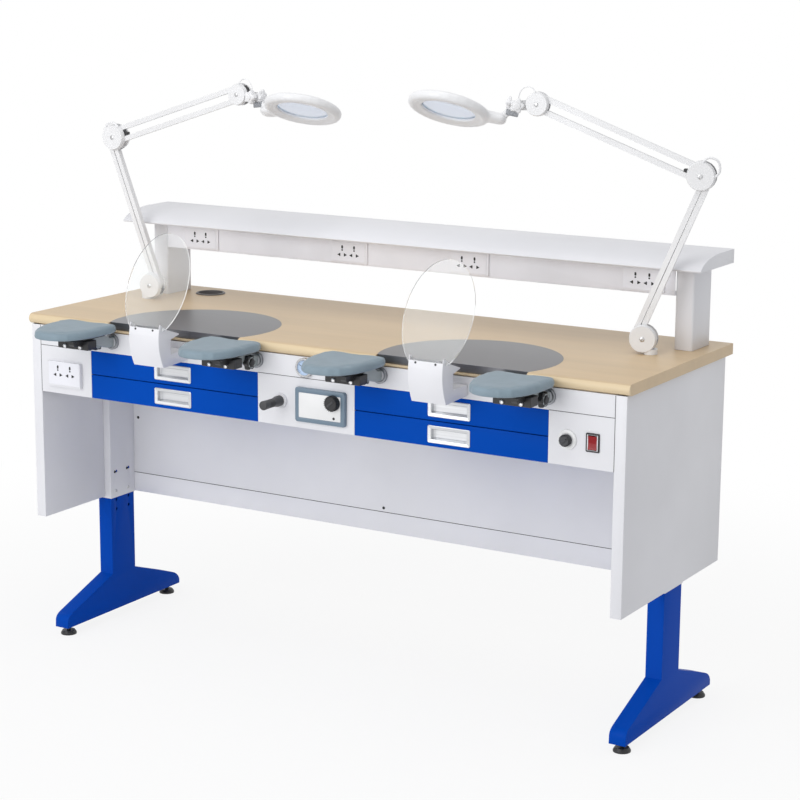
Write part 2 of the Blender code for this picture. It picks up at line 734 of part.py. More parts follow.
def make_control_box():
    limits = (-CENTRE_HALF, CENTRE_HALF)
    box = box_shell("control_box", limits, limits)
    join(box, *ledges(-CENTRE_HALF, -1), *ledges(CENTRE_HALF, 1))
    z = UNDER - UNIT_DROP
    outline = rounded((UNIT_ACROSS - UNIT_WIDE / 2, UNIT_ACROSS + UNIT_WIDE / 2),
                      (z - UNIT_TALL / 2, z + UNIT_TALL / 2), 0.005)
    join(box, plate("Y", outline, (FACE - UNIT_PROUD, FACE + SHEET / 2)))
    gun = (GUN_ACROSS, UNDER - GUN_DROP)
    join(box, rod("Y", gun, (FACE - GUN_COLLAR_PROUD, FACE + 0.012), GUN_COLLAR, sides=24))
    cut(box, rod("Y", gun, (FACE - 0.02, FACE + 0.02), GUN_STEM + GAP, sides=14))
    knob = (MOTOR_ACROSS, UNDER - MOTOR_DROP)
    cut(box, rod("Y", knob, (FACE - 0.02, FACE - UNIT_PROUD + SHAFT_LONG + 0.001), SHAFT_RADIUS + GAP,
                 sides=10))


def make_switch_box():
    x = (END_IN, PANEL_IN - GAP)
    box = box_shell("switch_box", x, (END_IN, SLEEVE_IN - GAP))
    join(box, *ledges(END_IN, -1))
    knob = (SELECTOR_ACROSS, UNDER - SELECTOR_DROP)
    join(box, rod("Y", knob, (FACE - RING_PROUD, FACE + 0.008), SELECTOR_RING, sides=24))
    cut(box, rod("Y", knob, (FACE - 0.02, FACE - RING_PROUD + SHAFT_LONG + 0.001), SHAFT_RADIUS + GAP,
                 sides=10))
    z = UNDER - ROCKER_DROP
    wide = ROCKER_FRAME_WIDE / 2
    tall = ROCKER_FRAME_TALL / 2
    outline = rounded((ROCKER_ACROSS - wide, ROCKER_ACROSS + wide), (z - tall, z + tall), 0.002, 2)
    join(box, plate("Y", outline, (FACE - 0.003, FACE + ROCKER_POCKET + 0.002)))
    wide = ROCKER_WIDE / 2 + GAP
    tall = ROCKER_TALL / 2 + 0.002
    cut(box, block((ROCKER_ACROSS - wide, ROCKER_ACROSS + wide), (FACE - 0.02, FACE + ROCKER_POCKET),
                   (z - tall, z + tall)))


def make_drawers():
    for name, side in SIDES:
        for level, (low, high) in zip(("lower", "upper"), drawer_levels()):
            middle = side * STATION
            half = (DRAWER_OUT - DRAWER_IN) / 2
            front = (FACE, FACE + DRAWER_FRONT_THICK)
            drawer = add("drawer_" + name + "_" + level,
                         block((-half, half), (0, DRAWER_FRONT_THICK), (0, high - low)), BLUE,
                         at=(middle, FACE, low))
            tray = half - TRAY_INSET
            z = (TRAY_LIFT, TRAY_LIFT + TRAY_TALL)
            back = FRONT + TRAY_BACK - FACE
            join(drawer, block((-tray, tray), (DRAWER_FRONT_THICK - 0.004, back), z))
            cut(drawer, block((-tray + TRAY_WALL, tray - TRAY_WALL), (DRAWER_FRONT_THICK, back - TRAY_WALL),
                              (z[0] + TRAY_WALL, z[1] + 0.02)))
            centre = (high - low) / 2 - HANDLE_DROP
            cut(drawer, block((-HANDLE_WIDE / 2, HANDLE_WIDE / 2), (-0.01, HANDLE_DEEP),
                              (centre - HANDLE_TALL / 2, centre + HANDLE_TALL / 2)))


def arm_profile():
    """Side view of an armrest's bar, from its pivot: deep at the root and slim under the pad."""
    root = -FLANGE_PROUD - GAP
    low = -ARM_ROOT_TALL / 2
    top = PAD_BOTTOM - GAP - BRACKET_THICK / 2 - FLANGE_Z
    tip = -PANEL_SETBACK - ARM_REACH
    return [(root, low), (root, -low), (root - 0.014, -low)] + bend(
        (root - 0.014, -low), (root - 0.030, top), (root - 0.044, top), 4)[1:] + [
        (tip, top), (tip, top - ARM_TIP_TALL + 0.004), (tip + 0.004, top - ARM_TIP_TALL),
        (BRACKET_DEEP - BRACKET_CENTRE - 0.030, top - ARM_TIP_TALL - 0.003), (root - 0.020, low)]


def make_armrests():
    for number, (x, hand) in enumerate(arm_places(), 1):
        centre = (x, FACE, FLANGE_Z)
        arm = add("armrest_arm_%d" % number, plate("X", arm_profile(), (-ARM_WIDE / 2, ARM_WIDE / 2)),
                  BLACK, at=centre)
        join(arm, rod("Y", (0, 0), (-FLANGE_PROUD - 0.003, BOSS_DEEP - 0.005), PIVOT_RADIUS, sides=12))
        top = PAD_BOTTOM - GAP - FLANGE_Z
        y = (-PANEL_SETBACK - BRACKET_CENTRE - BRACKET_DEEP / 2,
             -PANEL_SETBACK - BRACKET_CENTRE + BRACKET_DEEP / 2)
        join(arm, plate("Z", rounded((-BRACKET_REACH, ARM_WIDE / 2 + 0.004), y, 0.006, 2),
                        (top - BRACKET_THICK, top)))
        middle = (y[0] + y[1]) / 2
        for across in (0.028, 0.078):
            join(arm, rod("Z", (-across, middle), (top - BRACKET_THICK - CAP_TALL, top - 0.001), CAP_RADIUS,
                          sides=10))
        span = sorted((hand * (ARM_WIDE / 2 - 0.002), hand * (ARM_WIDE / 2 + STAR_LONG)))
        join(arm, rod("X", (-PANEL_SETBACK - STAR_PLACE, 0.002), span, STAR_RADIUS, sides=10))
        add("armrest_pad_%d" % number, pad_form(), PADDING, at=centre)


def pad_form():
    """A padded armrest: drawn in round its middle and crowned on top."""
    reach = PAD_REACH - PAD_BACK
    shape = ((-0.122, 0.00), (-0.050, 0.00), (0.020, 0.00), (0.030, 0.30), (0.026, 0.63), (0.004, 0.90),
             (-0.040, 1.00), (-0.082, 0.96), (-0.112, 0.74), (-0.130, 0.38))
    front = -PANEL_SETBACK - PAD_BACK
    outline = smooth_loop([(x, front - reach * y) for x, y in shape], 2)
    outline = [(x, min(max(y, front - reach), front)) for x, y in outline]
    middle = [sum(point[k] for point in outline) / len(outline) for k in range(2)]
    low = PAD_BOTTOM - FLANGE_Z
    sections = ((0.93, 0.0), (0.985, 0.10), (1.0, 0.26), (0.985, 0.46), (0.99, 0.66), (0.95, 0.84),
                (0.80, 0.95), (0.45, 1.0))
    rings = [[(middle[0] + (x - middle[0]) * size, middle[1] + (y - middle[1]) * size,
               low + PAD_THICK * level) for x, y in outline] for size, level in sections]
    return loft(rings)


def suction_outline():
    """Side view of a suction box: bowed front, sloping cheek, lip, and a duct to the rail."""
    top = TOP + SUCTION_TOP
    low = UNDER - SUCTION_LOW
    middle = (top + low) / 2 + 0.004
    bow = bend((-SUCTION_TOE, low), (-2 * SUCTION_BOW + (SUCTION_TOE + SUCTION_REACH) / 2, middle),
               (-SUCTION_REACH, top), 10)
    seat = PANEL_SETBACK - GAP
    duct = low + 0.004 + DUCT_TALL
    outline = bow + [(-SUCTION_REACH + 0.026, TOP + 0.016), (-LIP_BACK, TOP + 0.0015),
                     (-LIP_BACK, TOP - 0.001), (-CHIMNEY_BACK, TOP - 0.008), (-CHIMNEY_BACK, duct),
                     (seat, duct), (seat, low + 0.004)]
    return [(FRONT + depth, height) for depth, height in outline]


def suction_hollow():
    """Side view of the space inside it: a chimney with its mouth on top, and the duct."""
    top = TOP + SUCTION_TOP
    low = UNDER - SUCTION_LOW
    middle = (top + low) / 2 + 0.004
    bow = bend((-SUCTION_TOE + SHEET, low + SHEET),
               (-2 * SUCTION_BOW + (SUCTION_TOE + SUCTION_REACH) / 2 + SHEET, middle),
               (-SUCTION_REACH + SHEET, top + 0.01), 10)
    duct = low + 0.004 + DUCT_TALL
    outline = bow + [(-CHIMNEY_BACK - SHEET, top + 0.01), (-CHIMNEY_BACK - SHEET, duct - SHEET),
                     (PANEL_SETBACK + 0.01, duct - SHEET), (PANEL_SETBACK + 0.01, low + 0.004 + SHEET)]
    return [(FRONT + depth, height) for depth, height in outline]


def shield_place(station):
    return (station + SUCTION_SHIFT, FRONT - SHIELD_FORWARD, TOP + SHIELD_RISE)


def make_suction():
    half = SUCTION_WIDE / 2
    cutoff = degrees(acos(SHIELD_CUT / SHIELD_HALF_TALL))
    for name, side in SIDES:
        station = side * STATION
        middle = station + SUCTION_SHIFT
        box = add("suction_box_" + name, plate("X", suction_outline(), (middle - half, middle + half)), WHITE)
        cut(box, plate("X", suction_hollow(), (middle - half + SHEET, middle + half - SHEET)))
        lean = Matrix.Translation(shield_place(station)) @ Matrix.Rotation(radians(-SHIELD_LEAN), 4, "X")
        slot = block((-0.15, 0.15), (-SHIELD_THICK / 2 - GAP, SHIELD_THICK / 2 + GAP),
                     (-SHIELD_CUT - GAP, SHIELD_HALF_TALL))
        slot.transform(lean)
        cut(box, slot)
        oval = arc((0, 0), 1.0, -90 + cutoff, 270 - cutoff, 40)
        outline = [(SHIELD_HALF_WIDE * x, SHIELD_HALF_TALL * z) for x, z in oval]
        add("shield_" + name, plate("Y", outline, (-SHIELD_THICK / 2, SHIELD_THICK / 2)), CLEAR,
            at=shield_place(station), turn=(-SHIELD_LEAN, 0, 0))


def knob(name, across, drop, proud, radius):
    """A turning knob on a shaft; its origin is where its axis meets the face it turns on."""
    quarter = Matrix.Rotation(radians(90), 4, "X")
    profile = [(0, KNOB_LONG), (radius * 0.80, KNOB_LONG), (radius * 0.88, KNOB_LONG - 0.001),
               (radius, GAP + 0.003), (radius, GAP), (SHAFT_RADIUS, GAP), (SHAFT_RADIUS, -SHAFT_LONG),
               (0, -SHAFT_LONG)]
    add(name, turned(profile, 20, quarter), BLACK, at=(across, FACE - proud, UNDER - drop))


def make_fittings():
    knob("motor_knob", MOTOR_ACROSS, MOTOR_DROP, UNIT_PROUD, MOTOR_RADIUS)
    knob("selector_knob", SELECTOR_ACROSS, SELECTOR_DROP, RING_PROUD, SELECTOR_RADIUS)
    half = ROCKER_TALL / 2
    pivot = ROCKER_PIVOT
    outline = [(-pivot - 0.005, half), (-pivot - 0.0025, 0.002), (-pivot - 0.0025, -0.002),
               (-pivot - 0.005, -half), (0.003, -half + 0.002), (0.003, half - 0.002)]
    add("power_rocker", plate("X", outline, (-ROCKER_WIDE / 2, ROCKER_WIDE / 2)), RED,
        at=(ROCKER_ACROSS, FACE + pivot, UNDER - ROCKER_DROP))
    quarter = Matrix.Rotation(radians(90), 4, "X")
    near = GAP
    profile = [(0, GUN_LONG), (GUN_TIP - 0.003, GUN_LONG), (GUN_TIP, GUN_LONG - 0.004), (GUN_TIP, 0.030),
               (GUN_GRIP, 0.012), (GUN_GRIP, near), (GUN_STEM, near), (GUN_STEM, -GUN_STEM_IN),
               (0, -GUN_STEM_IN)]
    add("air_gun", turned(profile, 18, quarter), BLACK,
        at=(GUN_ACROSS, FACE - GUN_COLLAR_PROUD, UNDER - GUN_DROP))


def make_shelf():
    y = (BACK - POST_BACK - POST_DEEP, BACK - POST_BACK)
    for name, side in SIDES:
        outline = rounded(mirrored((POST_INNER[name], POST_INNER[name] + POST_WIDE), side), y, 0.006, 3)
        add("shelf_post_" + name, plate("Z", outline, (TOP + GAP, SHELF_BOTTOM - GAP)), WHITE)
    front = BACK - SHELF_DEEP
    profile = [(BACK, SHELF_TOP), (BACK, SHELF_BOTTOM), (front + 0.002, SHELF_BOTTOM)]
    profile += bend((front, SHELF_BOTTOM + SHELF_LIP), (front + 0.024, SHELF_TOP - 0.002),
                    (front + SHELF_ROLL, SHELF_TOP), 10)
    add("shelf", plate("X", profile, (-SHELF_HALF, SHELF_HALF)), WHITE)
    x = (-POST_INNER["left"] + GAP, POST_INNER["right"] - GAP)
    z = (SHELF_BOTTOM - GAP - BAR_TALL, SHELF_BOTTOM - GAP)
    face = BACK - BAR_BACK
    rail = add("socket_rail", block(x, (face, face + BAR_DEEP), z), WHITE)
    cut(rail, block((x[0] - 0.01, x[1] + 0.01), (face + SHEET, face + BAR_DEEP + 0.01),
                    (z[0] + SHEET, z[1] - SHEET)))
    middle = (z[0] + z[1]) / 2
    for across in OUTLET_PLACES:
        outline = rounded((across - OUTLET_WIDE / 2, across + OUTLET_WIDE / 2),
                          (middle - OUTLET_TALL / 2, middle + OUTLET_TALL / 2), 0.003, 2)
        join(rail, plate("Y", outline, (face - OUTLET_PROUD, face + SHEET / 2)))


def make_grommet():
    inner = GROMMET_RADIUS - GROMMET_WALL
    rim = GROMMET_RADIUS + GROMMET_RIM
    profile = [(inner, GROMMET_RIM_TALL), (rim - 0.002, GROMMET_RIM_TALL), (rim, GAP + 0.0005), (rim, GAP),
               (GROMMET_RADIUS, GAP), (GROMMET_RADIUS, -WORKTOP_THICK + 0.002),
               (inner, -WORKTOP_THICK + 0.002)]
    add("cable_grommet", turned(profile, 28), BLACK, at=(GROMMET_ACROSS, BACK - GROMMET_BACK, TOP))


def web(radius, start, end, facing, half):
    """The curved wall that joins a knuckle's two caps, away from the bars' sweep."""
    inner = radius - WEB_THICK
    outline = arc((0, 0), radius - 0.0015, start, end, 7) + arc((0, 0), inner, end, start, 7)
    return plate("Y", [(facing * x, z) for x, z in outline], (-half, half))


def knuckle(name, radius, pins, sector, facing, at, parent):
    """Two round caps with a wall between them, and the pins that the bars turn on."""
    inside = BAR_THICK / 2 + BAR_CLEAR
    outside = inside + CAP_THICK
    front = rod("Y", (0, 0), (-outside, -inside), radius - 0.003, radius, sides=20)
    drum = add(name, front, WHITE, at=at, parent=parent)
    join(drum, web(radius, *sector, facing, inside + 0.002))
    join(drum, rod("Y", (0, 0), (inside, outside), radius, radius - 0.003, sides=20))
    join(drum, together([rod("Y", (facing * x, z), (-inside - 0.002, inside + 0.002), HINGE_PIN, sides=10)
                         for x, z in pins]))
    return drum


def bar(long, wide):
    """A flat bar with round ends and a hole at each end, along X from its first pivot."""
    half = wide / 2
    outline = arc((0, 0), half, 90, 270, 6) + arc((long, 0), half, -90, 90, 6)
    return plate("Y", outline, (-BAR_THICK / 2, BAR_THICK / 2))


def bored(item, long):
    cut(item, together([rod("Y", (x, 0), (-0.02, 0.02), HINGE_PIN + GAP, sides=10) for x in (0, long)]))


def lens_form():
    rise = LENS_EDGE / 2
    upper = [(LENS_RADIUS * k / 3, rise + LENS_CROWN * (1 - (k / 3) ** 2)) for k in range(4)]
    return upper + [(r, -z) for r, z in reversed(upper)]


def head_profile():
    """Half section of the lamp head: a rounded ring with a lip under the lens."""
    inner = LENS_RADIUS + GAP
    seat = inner - LENS_SEAT
    rest = -LENS_EDGE / 2 - LENS_CROWN * (1 - (seat / LENS_RADIUS) ** 2) - GAP
    high = HEAD_TALL * 0.45
    low = HEAD_TALL * 0.55
    roll = bend((inner + 0.004, high), (HEAD_RADIUS, high), (HEAD_RADIUS, 0), 5)
    under = bend((HEAD_RADIUS, 0), (HEAD_RADIUS, -low), (HEAD_RADIUS - 0.014, -low), 3)[1:]
    lip = [(inner + 0.010, -low + 0.004), (inner, rest - 0.005), (seat, rest - 0.005), (seat, rest)]
    return [(inner, high - 0.004)] + roll + under + lip + [(inner, rest)]


def make_lamp(name, side):
    inward = -side
    lower = radians(90 + inward * (90 - LOWER_RISE[name]))
    upper = radians(90 - inward * (90 - UPPER_RISE[name]))
    root = bpy.data.objects.new("lamp_" + name + "_swivel", None)
    root.location = (side * LAMP_PIN_ACROSS, FRONT + LAMP_PIN_DEPTH, TOP)
    root.rotation_euler = (0, 0, radians(LAMP_SWING[name]))
    PARTS.objects.link(root)
    label = "lamp_" + name + "_"
    base = (inward * LAMP_OFFSET, LAMP_PIVOT_RISE)
    hub = knuckle(label + "base", BASE_DRUM, [BASE_PIN], (185, 345), inward, (base[0], 0, base[1]), root)
    join(hub, rod("Z", (-base[0], 0), (GAP - base[1], GAP - base[1] + LAMP_FOOT_TALL), LAMP_FOOT_RADIUS))
    join(hub, rod("Z", (-base[0], 0), (-base[1] - LAMP_PIN_LONG, 0.004 - base[1]), LAMP_PIN_RADIUS,
                  sides=16))

    start = (base[0] + inward * BASE_PIN[0], base[1] + BASE_PIN[1])
    arm = add(label + "lower_arm", bar(LOWER_LONG, LOWER_WIDE), WHITE, at=(start[0], 0, start[1]),
              turn=(0, -degrees(lower), 0), parent=root)
    bored(arm, LOWER_LONG)
    cut(arm, block((LOWER_WIDE, LOWER_LONG - LOWER_WIDE), (-0.02, 0.02), (-LOWER_SLIT / 2, LOWER_SLIT / 2)))

    end = (start[0] + LOWER_LONG * cos(lower), start[1] + LOWER_LONG * sin(lower))
    elbow = (end[0] - inward * LOWER_PIN[0], end[1] - LOWER_PIN[1])
    low_pin = (TOP_PIN[0], TOP_PIN[1] - PIN_PITCH)
    drum = knuckle(label + "elbow", ELBOW_DRUM, [LOWER_PIN, TOP_PIN, low_pin], (100, 200), inward,
                   (elbow[0], 0, elbow[1]), root)
    join(drum, cable_loop(ELBOW_DRUM, inward))

    for kind, pin in (("top", TOP_PIN), ("bottom", low_pin)):
        place = (elbow[0] + inward * pin[0], 0, elbow[1] + pin[1])
        link = add(label + "upper_bar_" + kind, bar(UPPER_LONG, UPPER_WIDE), WHITE, at=place,
                   turn=(0, -degrees(upper), 0), parent=root)
        bored(link, UPPER_LONG)

    tip = (elbow[0] + inward * TOP_PIN[0] + UPPER_LONG * cos(upper),
           elbow[1] + TOP_PIN[1] + UPPER_LONG * sin(upper))
    neck = (tip[0] + inward * HEAD_PIN_INSET, tip[1] - PIN_PITCH / 2)
    pins = [(-HEAD_PIN_INSET, PIN_PITCH / 2), (-HEAD_PIN_INSET, -PIN_PITCH / 2)]
    hold = knuckle(label + "head_knuckle", HEAD_DRUM, pins, (-60, 60), inward, (neck[0], 0, neck[1]), root)
    make_fork(hold, inward)

    pivot = (neck[0] + inward * HEAD_PIVOT_REACH, 0, neck[1] - HEAD_PIVOT_DROP)
    slope = (0, HEAD_SLOPE[name], -inward * HEAD_YAW)
    place = Matrix.Translation((inward * HEAD_CENTRE, 0, -HEAD_SINK))
    roll = place @ Matrix.Rotation(radians(HEAD_ROLL), 4, "X")
    head = add(label + "head", turned(head_profile(), 28, roll), WHITE, at=pivot, turn=slope, parent=root)
    tail = tail_form(inward)
    tail.transform(roll)
    join(head, tail)
    join(head, tongue(inward))
    cut(head, rod("Y", (0, 0), (-0.02, 0.02), HINGE_PIN + GAP, sides=12))
    add(label + "lens", turned(lens_form(), 28, roll), CLEAR, at=pivot, turn=slope, parent=root)


def make_fork(hold, inward):
    """Two plates on the head knuckle, with the pin that the head tilts on."""
    span = BAR_THICK / 2 + BAR_CLEAR + 0.0005
    back = HEAD_DRUM - 0.006 - HEAD_PIVOT_REACH
    outline = arc((0, 0), HEAD_LUG, -90, 90, 6) + [(back, HEAD_LUG), (back, -HEAD_LUG)]
    outline = [(inward * x, z) for x, z in outline]
    shapes = [plate("Y", outline, y) for y in ((-span - 0.004, -span), (span, span + 0.004))]
    shapes.append(rod("Y", (0, 0), (-span - 0.012, span + 0.010), HINGE_PIN, sides=12))
    shapes.append(rod("Y", (0, 0), (-span - 0.018, -span - 0.006), STAR_RADIUS - 0.002, sides=14))
    turn = Matrix.Rotation(radians(-inward * HEAD_YAW), 4, "Z")
    place = Matrix.Translation((inward * HEAD_PIVOT_REACH, 0, -HEAD_PIVOT_DROP)) @ turn
    for shape in shapes:
        shape.transform(place)
        join(hold, shape)


def tail_form(inward):
    """The head's rounded tail, from its ring towards the pivot, in the ring's own axes."""
    reach = HEAD_CENTRE - TAIL_END
    root = HEAD_RADIUS - 0.022
    sections = ((0.0, 0.36, 0.36), (0.05, 0.72, 0.68), (0.16, 0.94, 0.92), (0.36, 1.0, 1.0), (0.60, 1.12, 1.0),
                (0.80, 1.35, 0.96), (1.0, 1.60, 0.80))
    rings = []
    for along, wide, tall in sections:
        x = -inward * (reach + (root - reach) * along)
        ring = arc((0, 0), 1.0, 0, 330, 11)
        rings.append([(x, TAIL_HALF_WIDE * wide * y, TAIL_HALF_TALL * tall * z) for y, z in ring])
    return loft(rings)


def tongue(inward):
    """The head's lug, from its tilt pivot down into the tail."""
    outline = arc((0, 0), HEAD_LUG - 0.001, 45, 225, 6)
    outline += [(TAIL_END + 0.006, -HEAD_SINK), (TAIL_END + 0.026, -HEAD_SINK)]
    return plate("Y", [(inward * x, z) for x, z in outline], (-BAR_THICK / 2, BAR_THICK / 2))


def cable_loop(radius, inward):
    """The lamp's lead where it is slack outside the elbow."""
    out = BAR_THICK / 2 + BAR_CLEAR + CAP_THICK / 2
    snug = ((-0.80, 0.50), (-0.50, 0.98), (0.05, 1.12), (0.50, 0.80))
    slack = ((0.10, 0.90), (0.50, 1.24), (1.12, 1.04), (1.24, 0.35), (0.90, -0.05))
    places = snug if inward > 0 else slack
    points = [(radius * x, -out, radius * z) for x, z in places]
    return tube(points, 0.003)


make_worktop()
make_inset_plates()
make_side_panels()
make_modesty()
make_legs()
make_front_rail()
make_socket_box()
make_control_box()
make_switch_box()
make_drawers()
make_armrests()
make_suction()
make_fittings()
make_shelf()
make_grommet()
for lamp_name, lamp_side in SIDES:
    make_lamp(lamp_name, lamp_side)
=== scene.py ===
"""Dresses the lab workbench: finishes, armrest padding, small fittings and a plain studio."""

import json
from math import atan2, cos, pi, radians, sin

import bmesh
import bpy
from mathutils import Matrix, Vector
from mathutils.bvhtree import BVHTree


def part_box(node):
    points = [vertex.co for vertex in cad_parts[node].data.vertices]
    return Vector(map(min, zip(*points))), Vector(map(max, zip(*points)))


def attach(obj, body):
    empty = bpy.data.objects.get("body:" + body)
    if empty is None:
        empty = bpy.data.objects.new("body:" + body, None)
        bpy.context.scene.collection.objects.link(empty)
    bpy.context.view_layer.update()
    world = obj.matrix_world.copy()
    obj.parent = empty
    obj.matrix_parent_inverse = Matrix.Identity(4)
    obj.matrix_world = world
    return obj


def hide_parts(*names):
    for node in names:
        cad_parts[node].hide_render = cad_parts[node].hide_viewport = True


bl_info = {
    "name": "Lab workbench dressing",
    "version": (1, 0, 0),
    "blender": (4, 5, 0),
    "location": "3D View > Sidebar > Workbench",
    "description": "Finishes, padding and small fittings for a two-place lab workbench",
    "category": "Object",
}

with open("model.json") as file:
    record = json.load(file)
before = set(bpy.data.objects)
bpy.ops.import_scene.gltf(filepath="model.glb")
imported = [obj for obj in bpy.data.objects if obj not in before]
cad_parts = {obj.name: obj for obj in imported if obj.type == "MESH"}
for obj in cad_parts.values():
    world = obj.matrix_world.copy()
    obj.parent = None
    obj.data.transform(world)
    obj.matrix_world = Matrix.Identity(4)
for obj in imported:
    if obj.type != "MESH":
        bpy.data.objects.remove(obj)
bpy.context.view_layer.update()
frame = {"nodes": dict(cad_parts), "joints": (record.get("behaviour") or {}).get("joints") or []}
NODES = frame["nodes"]
JOINTS = {joint["name"]: joint for joint in frame["joints"]}
SIDES = (("left", 1), ("right", -1))
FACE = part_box("drawer_left_lower")[0].y
UP = Vector((0, 0, 1))
OUT = Vector((0, -1, 0))
LENS_FROM_PIVOT = 0.148      # along a lamp's head
LENS_BELOW_PIVOT = 0.038
HEAD_ROLL = radians(22.5)    # front edge of the heads up
WIDEST_RING = 0.26           # level of a pad solid's widest ring
PAD_SECTIONS = ((0.950, 0.0), (0.980, 0.06), (0.990, 0.20), (0.990, 0.66), (0.982, 0.84), (0.962, 0.95),
                (0.930, 1.0), (0.600, 1.0))   # a pad's width at each level
BAR_GAP = 0.0076             # half the space between a knuckle's caps
HUB_RADIUS = 0.021
CREASE = 32.0                # edges sharper than this stay sharp, in degrees
HEAD_CREASE = 75.0
HEAD_GRID = 0.0024           # fineness of a lamp head's blended skin
WELD_REACH = 0.00001
FINISHES = {}


class Socket:
    """One socket of a material; arithmetic on it adds Math nodes."""

    def __init__(self, paint, socket):
        self.paint = paint
        self.socket = socket

    def math(self, operation, first, second=0.0):
        return self.paint.node("ShaderNodeMath", {"operation": operation}, {0: first, 1: second})

    def __add__(self, other):
        return self.math("ADD", self, other)

    def __radd__(self, other):
        return self.math("ADD", other, self)

    def __sub__(self, other):
        return self.math("SUBTRACT", self, other)

    def __rsub__(self, other):
        return self.math("SUBTRACT", other, self)

    def __mul__(self, other):
        return self.math("MULTIPLY", self, other)

    def __rmul__(self, other):
        return self.math("MULTIPLY", other, self)

    def __gt__(self, other):
        return self.math("GREATER_THAN", self, other)

    def __lt__(self, other):
        return self.math("LESS_THAN", self, other)

    def __abs__(self):
        return self.math("ABSOLUTE", self)


class Paint:
    """A material for one finish of the bench, made of nodes on Object coordinates."""

    def __init__(self, name, roughness=0.5, **fixed):
        self.material = bpy.data.materials.new(name)
        self.material.use_nodes = True
        self.tree = self.material.node_tree
        self.tree.nodes.clear()
        self.shader = self.tree.nodes.new("ShaderNodeBsdfPrincipled")
        self.output = self.tree.nodes.new("ShaderNodeOutputMaterial")
        self.tree.links.new(self.shader.outputs[0], self.output.inputs[0])
        self.set("Roughness", roughness)
        for socket, value in fixed.items():
            self.set(socket.replace("_", " ").title().replace("Ior", "IOR"), value)
        FINISHES[name] = self.material

    def node(self, kind, settings=None, sockets=None, output=0):
        made = self.tree.nodes.new(kind)
        for key, value in (settings or {}).items():
            if key == "stops":
                self.stops(made.color_ramp, value)
            else:
                setattr(made, key, value)
        for key, value in (sockets or {}).items():
            self.feed(made.inputs[key], value)
        return Socket(self, made.outputs[output])

    def stops(self, ramp, values):
        while len(ramp.elements) < len(values):
            ramp.elements.new(0.5)
        for element, (place, colour) in zip(ramp.elements, values):
            element.position = place
            element.color = (*colour, 1.0)

    def feed(self, target, value):
        if isinstance(value, Socket):
            self.tree.links.new(value.socket, target)
        else:
            target.default_value = value

    def set(self, socket, value):
        if isinstance(value, tuple) and len(value) == 3:
            value = (*value, 1.0)
        self.feed(self.shader.inputs[socket], value)

    def place(self, scale=(1, 1, 1)):
        coordinates = self.node("ShaderNodeTexCoord", output="Object")
        return self.node("ShaderNodeMapping", {}, {"Vector": coordinates, "Scale": scale})

    def axes(self):
        split = self.node("ShaderNodeSeparateXYZ", {}, {0: self.place()}).socket.node
        return [Socket(self, split.outputs[k]) for k in range(3)]

    def noise(self, vector, scale, detail=2.0, roughness=0.5):
        return self.node("ShaderNodeTexNoise", {}, {"Vector": vector, "Scale": scale, "Detail": detail,
                                                    "Roughness": roughness})

    def ramp(self, value, *stops):
        return self.node("ShaderNodeValToRGB", {"stops": stops}, {0: value})

    def mix(self, factor, first, second):
        made = self.tree.nodes.new("ShaderNodeMix")
        made.data_type = "RGBA"
        self.feed(made.inputs[0], factor)
        for index, value in ((6, first), (7, second)):
            self.feed(made.inputs[index], (*value, 1.0) if isinstance(value, tuple) else value)
        return Socket(self, made.outputs[2])

    def bump(self, height, strength, distance):
        self.set("Normal", self.node("ShaderNodeBump", {}, {"Height": height, "Strength": strength,
                                                             "Distance": distance}))


def shade(colour, factor):
    """The same colour, lighter or darker."""
    return tuple(min(1.0, part * factor) for part in colour)


def powder_coat(name, colour, roughness=0.42, peel=0.05, **fixed):
    """Baked powder paint: slight orange peel and a faint drift of tone."""
    paint = Paint(name, roughness, **fixed)
    drift = paint.noise(paint.place(), 4.0, 3.0)
    paint.set("Base Color", paint.ramp(drift, (0.30, shade(colour, 0.96)), (0.70, shade(colour, 1.03))))
    grain = paint.noise(paint.place(), 620.0, 2.0)
    paint.set("Roughness", roughness - 0.04 + 0.08 * grain)
    paint.bump(grain, peel, 0.0004)
    return paint


def moulded(name, colour, roughness=0.35, grain_size=900.0, peel=0.05, **fixed):
    """Moulded plastic: a fine spark texture, and a tone that drifts slowly over the piece."""
    paint = Paint(name, roughness, **fixed)
    drift = paint.noise(paint.place(), 9.0, 2.0)
    paint.set("Base Color", paint.ramp(drift, (0.30, shade(colour, 0.96)), (0.70, shade(colour, 1.03))))
    grain = paint.noise(paint.place(), grain_size, 2.0)
    paint.set("Roughness", roughness - 0.05 + 0.10 * grain)
    if peel:
        paint.bump(grain, peel, 0.0002)
    return paint


def drawn_metal(name, colour, roughness=0.32, along=(8, 420, 420)):
    """Metal with the fine lines left by rolling or brushing."""
    paint = Paint(name, roughness, metallic=1.0)
    lines = paint.noise(paint.place(along), 1.0, 3.0, 0.6)
    paint.set("Base Color", paint.ramp(lines, (0.25, shade(colour, 0.90)), (0.75, shade(colour, 1.08))))
    paint.set("Roughness", roughness - 0.06 + 0.12 * lines)
    paint.bump(lines, 0.05, 0.0002)
    return paint


def laminate(colours):
    """Pale wood-pattern laminate with its grain along the bench, and a paler nose."""
    paint = Paint("laminate", 0.38)
    broad = paint.noise(paint.place((0.9, 11.0, 11.0)), 1.6, 4.0, 0.55)
    fine = paint.noise(paint.place((5.0, 230.0, 230.0)), 1.0, 3.0, 0.6)
    wood = paint.ramp(0.72 * broad + 0.28 * fine, (0.32, shade(colours.laminate, 0.93)),
                      (0.52, tuple(colours.laminate)), (0.72, shade(colours.laminate, 1.05)))
    x, y, z = paint.axes()
    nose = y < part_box("worktop")[0].y + 0.006
    paint.set("Base Color", paint.mix(nose, wood, tuple(colours.nose)))
    paint.set("Roughness", 0.33 + 0.12 * fine)
    paint.bump(fine, 0.04, 0.0002)


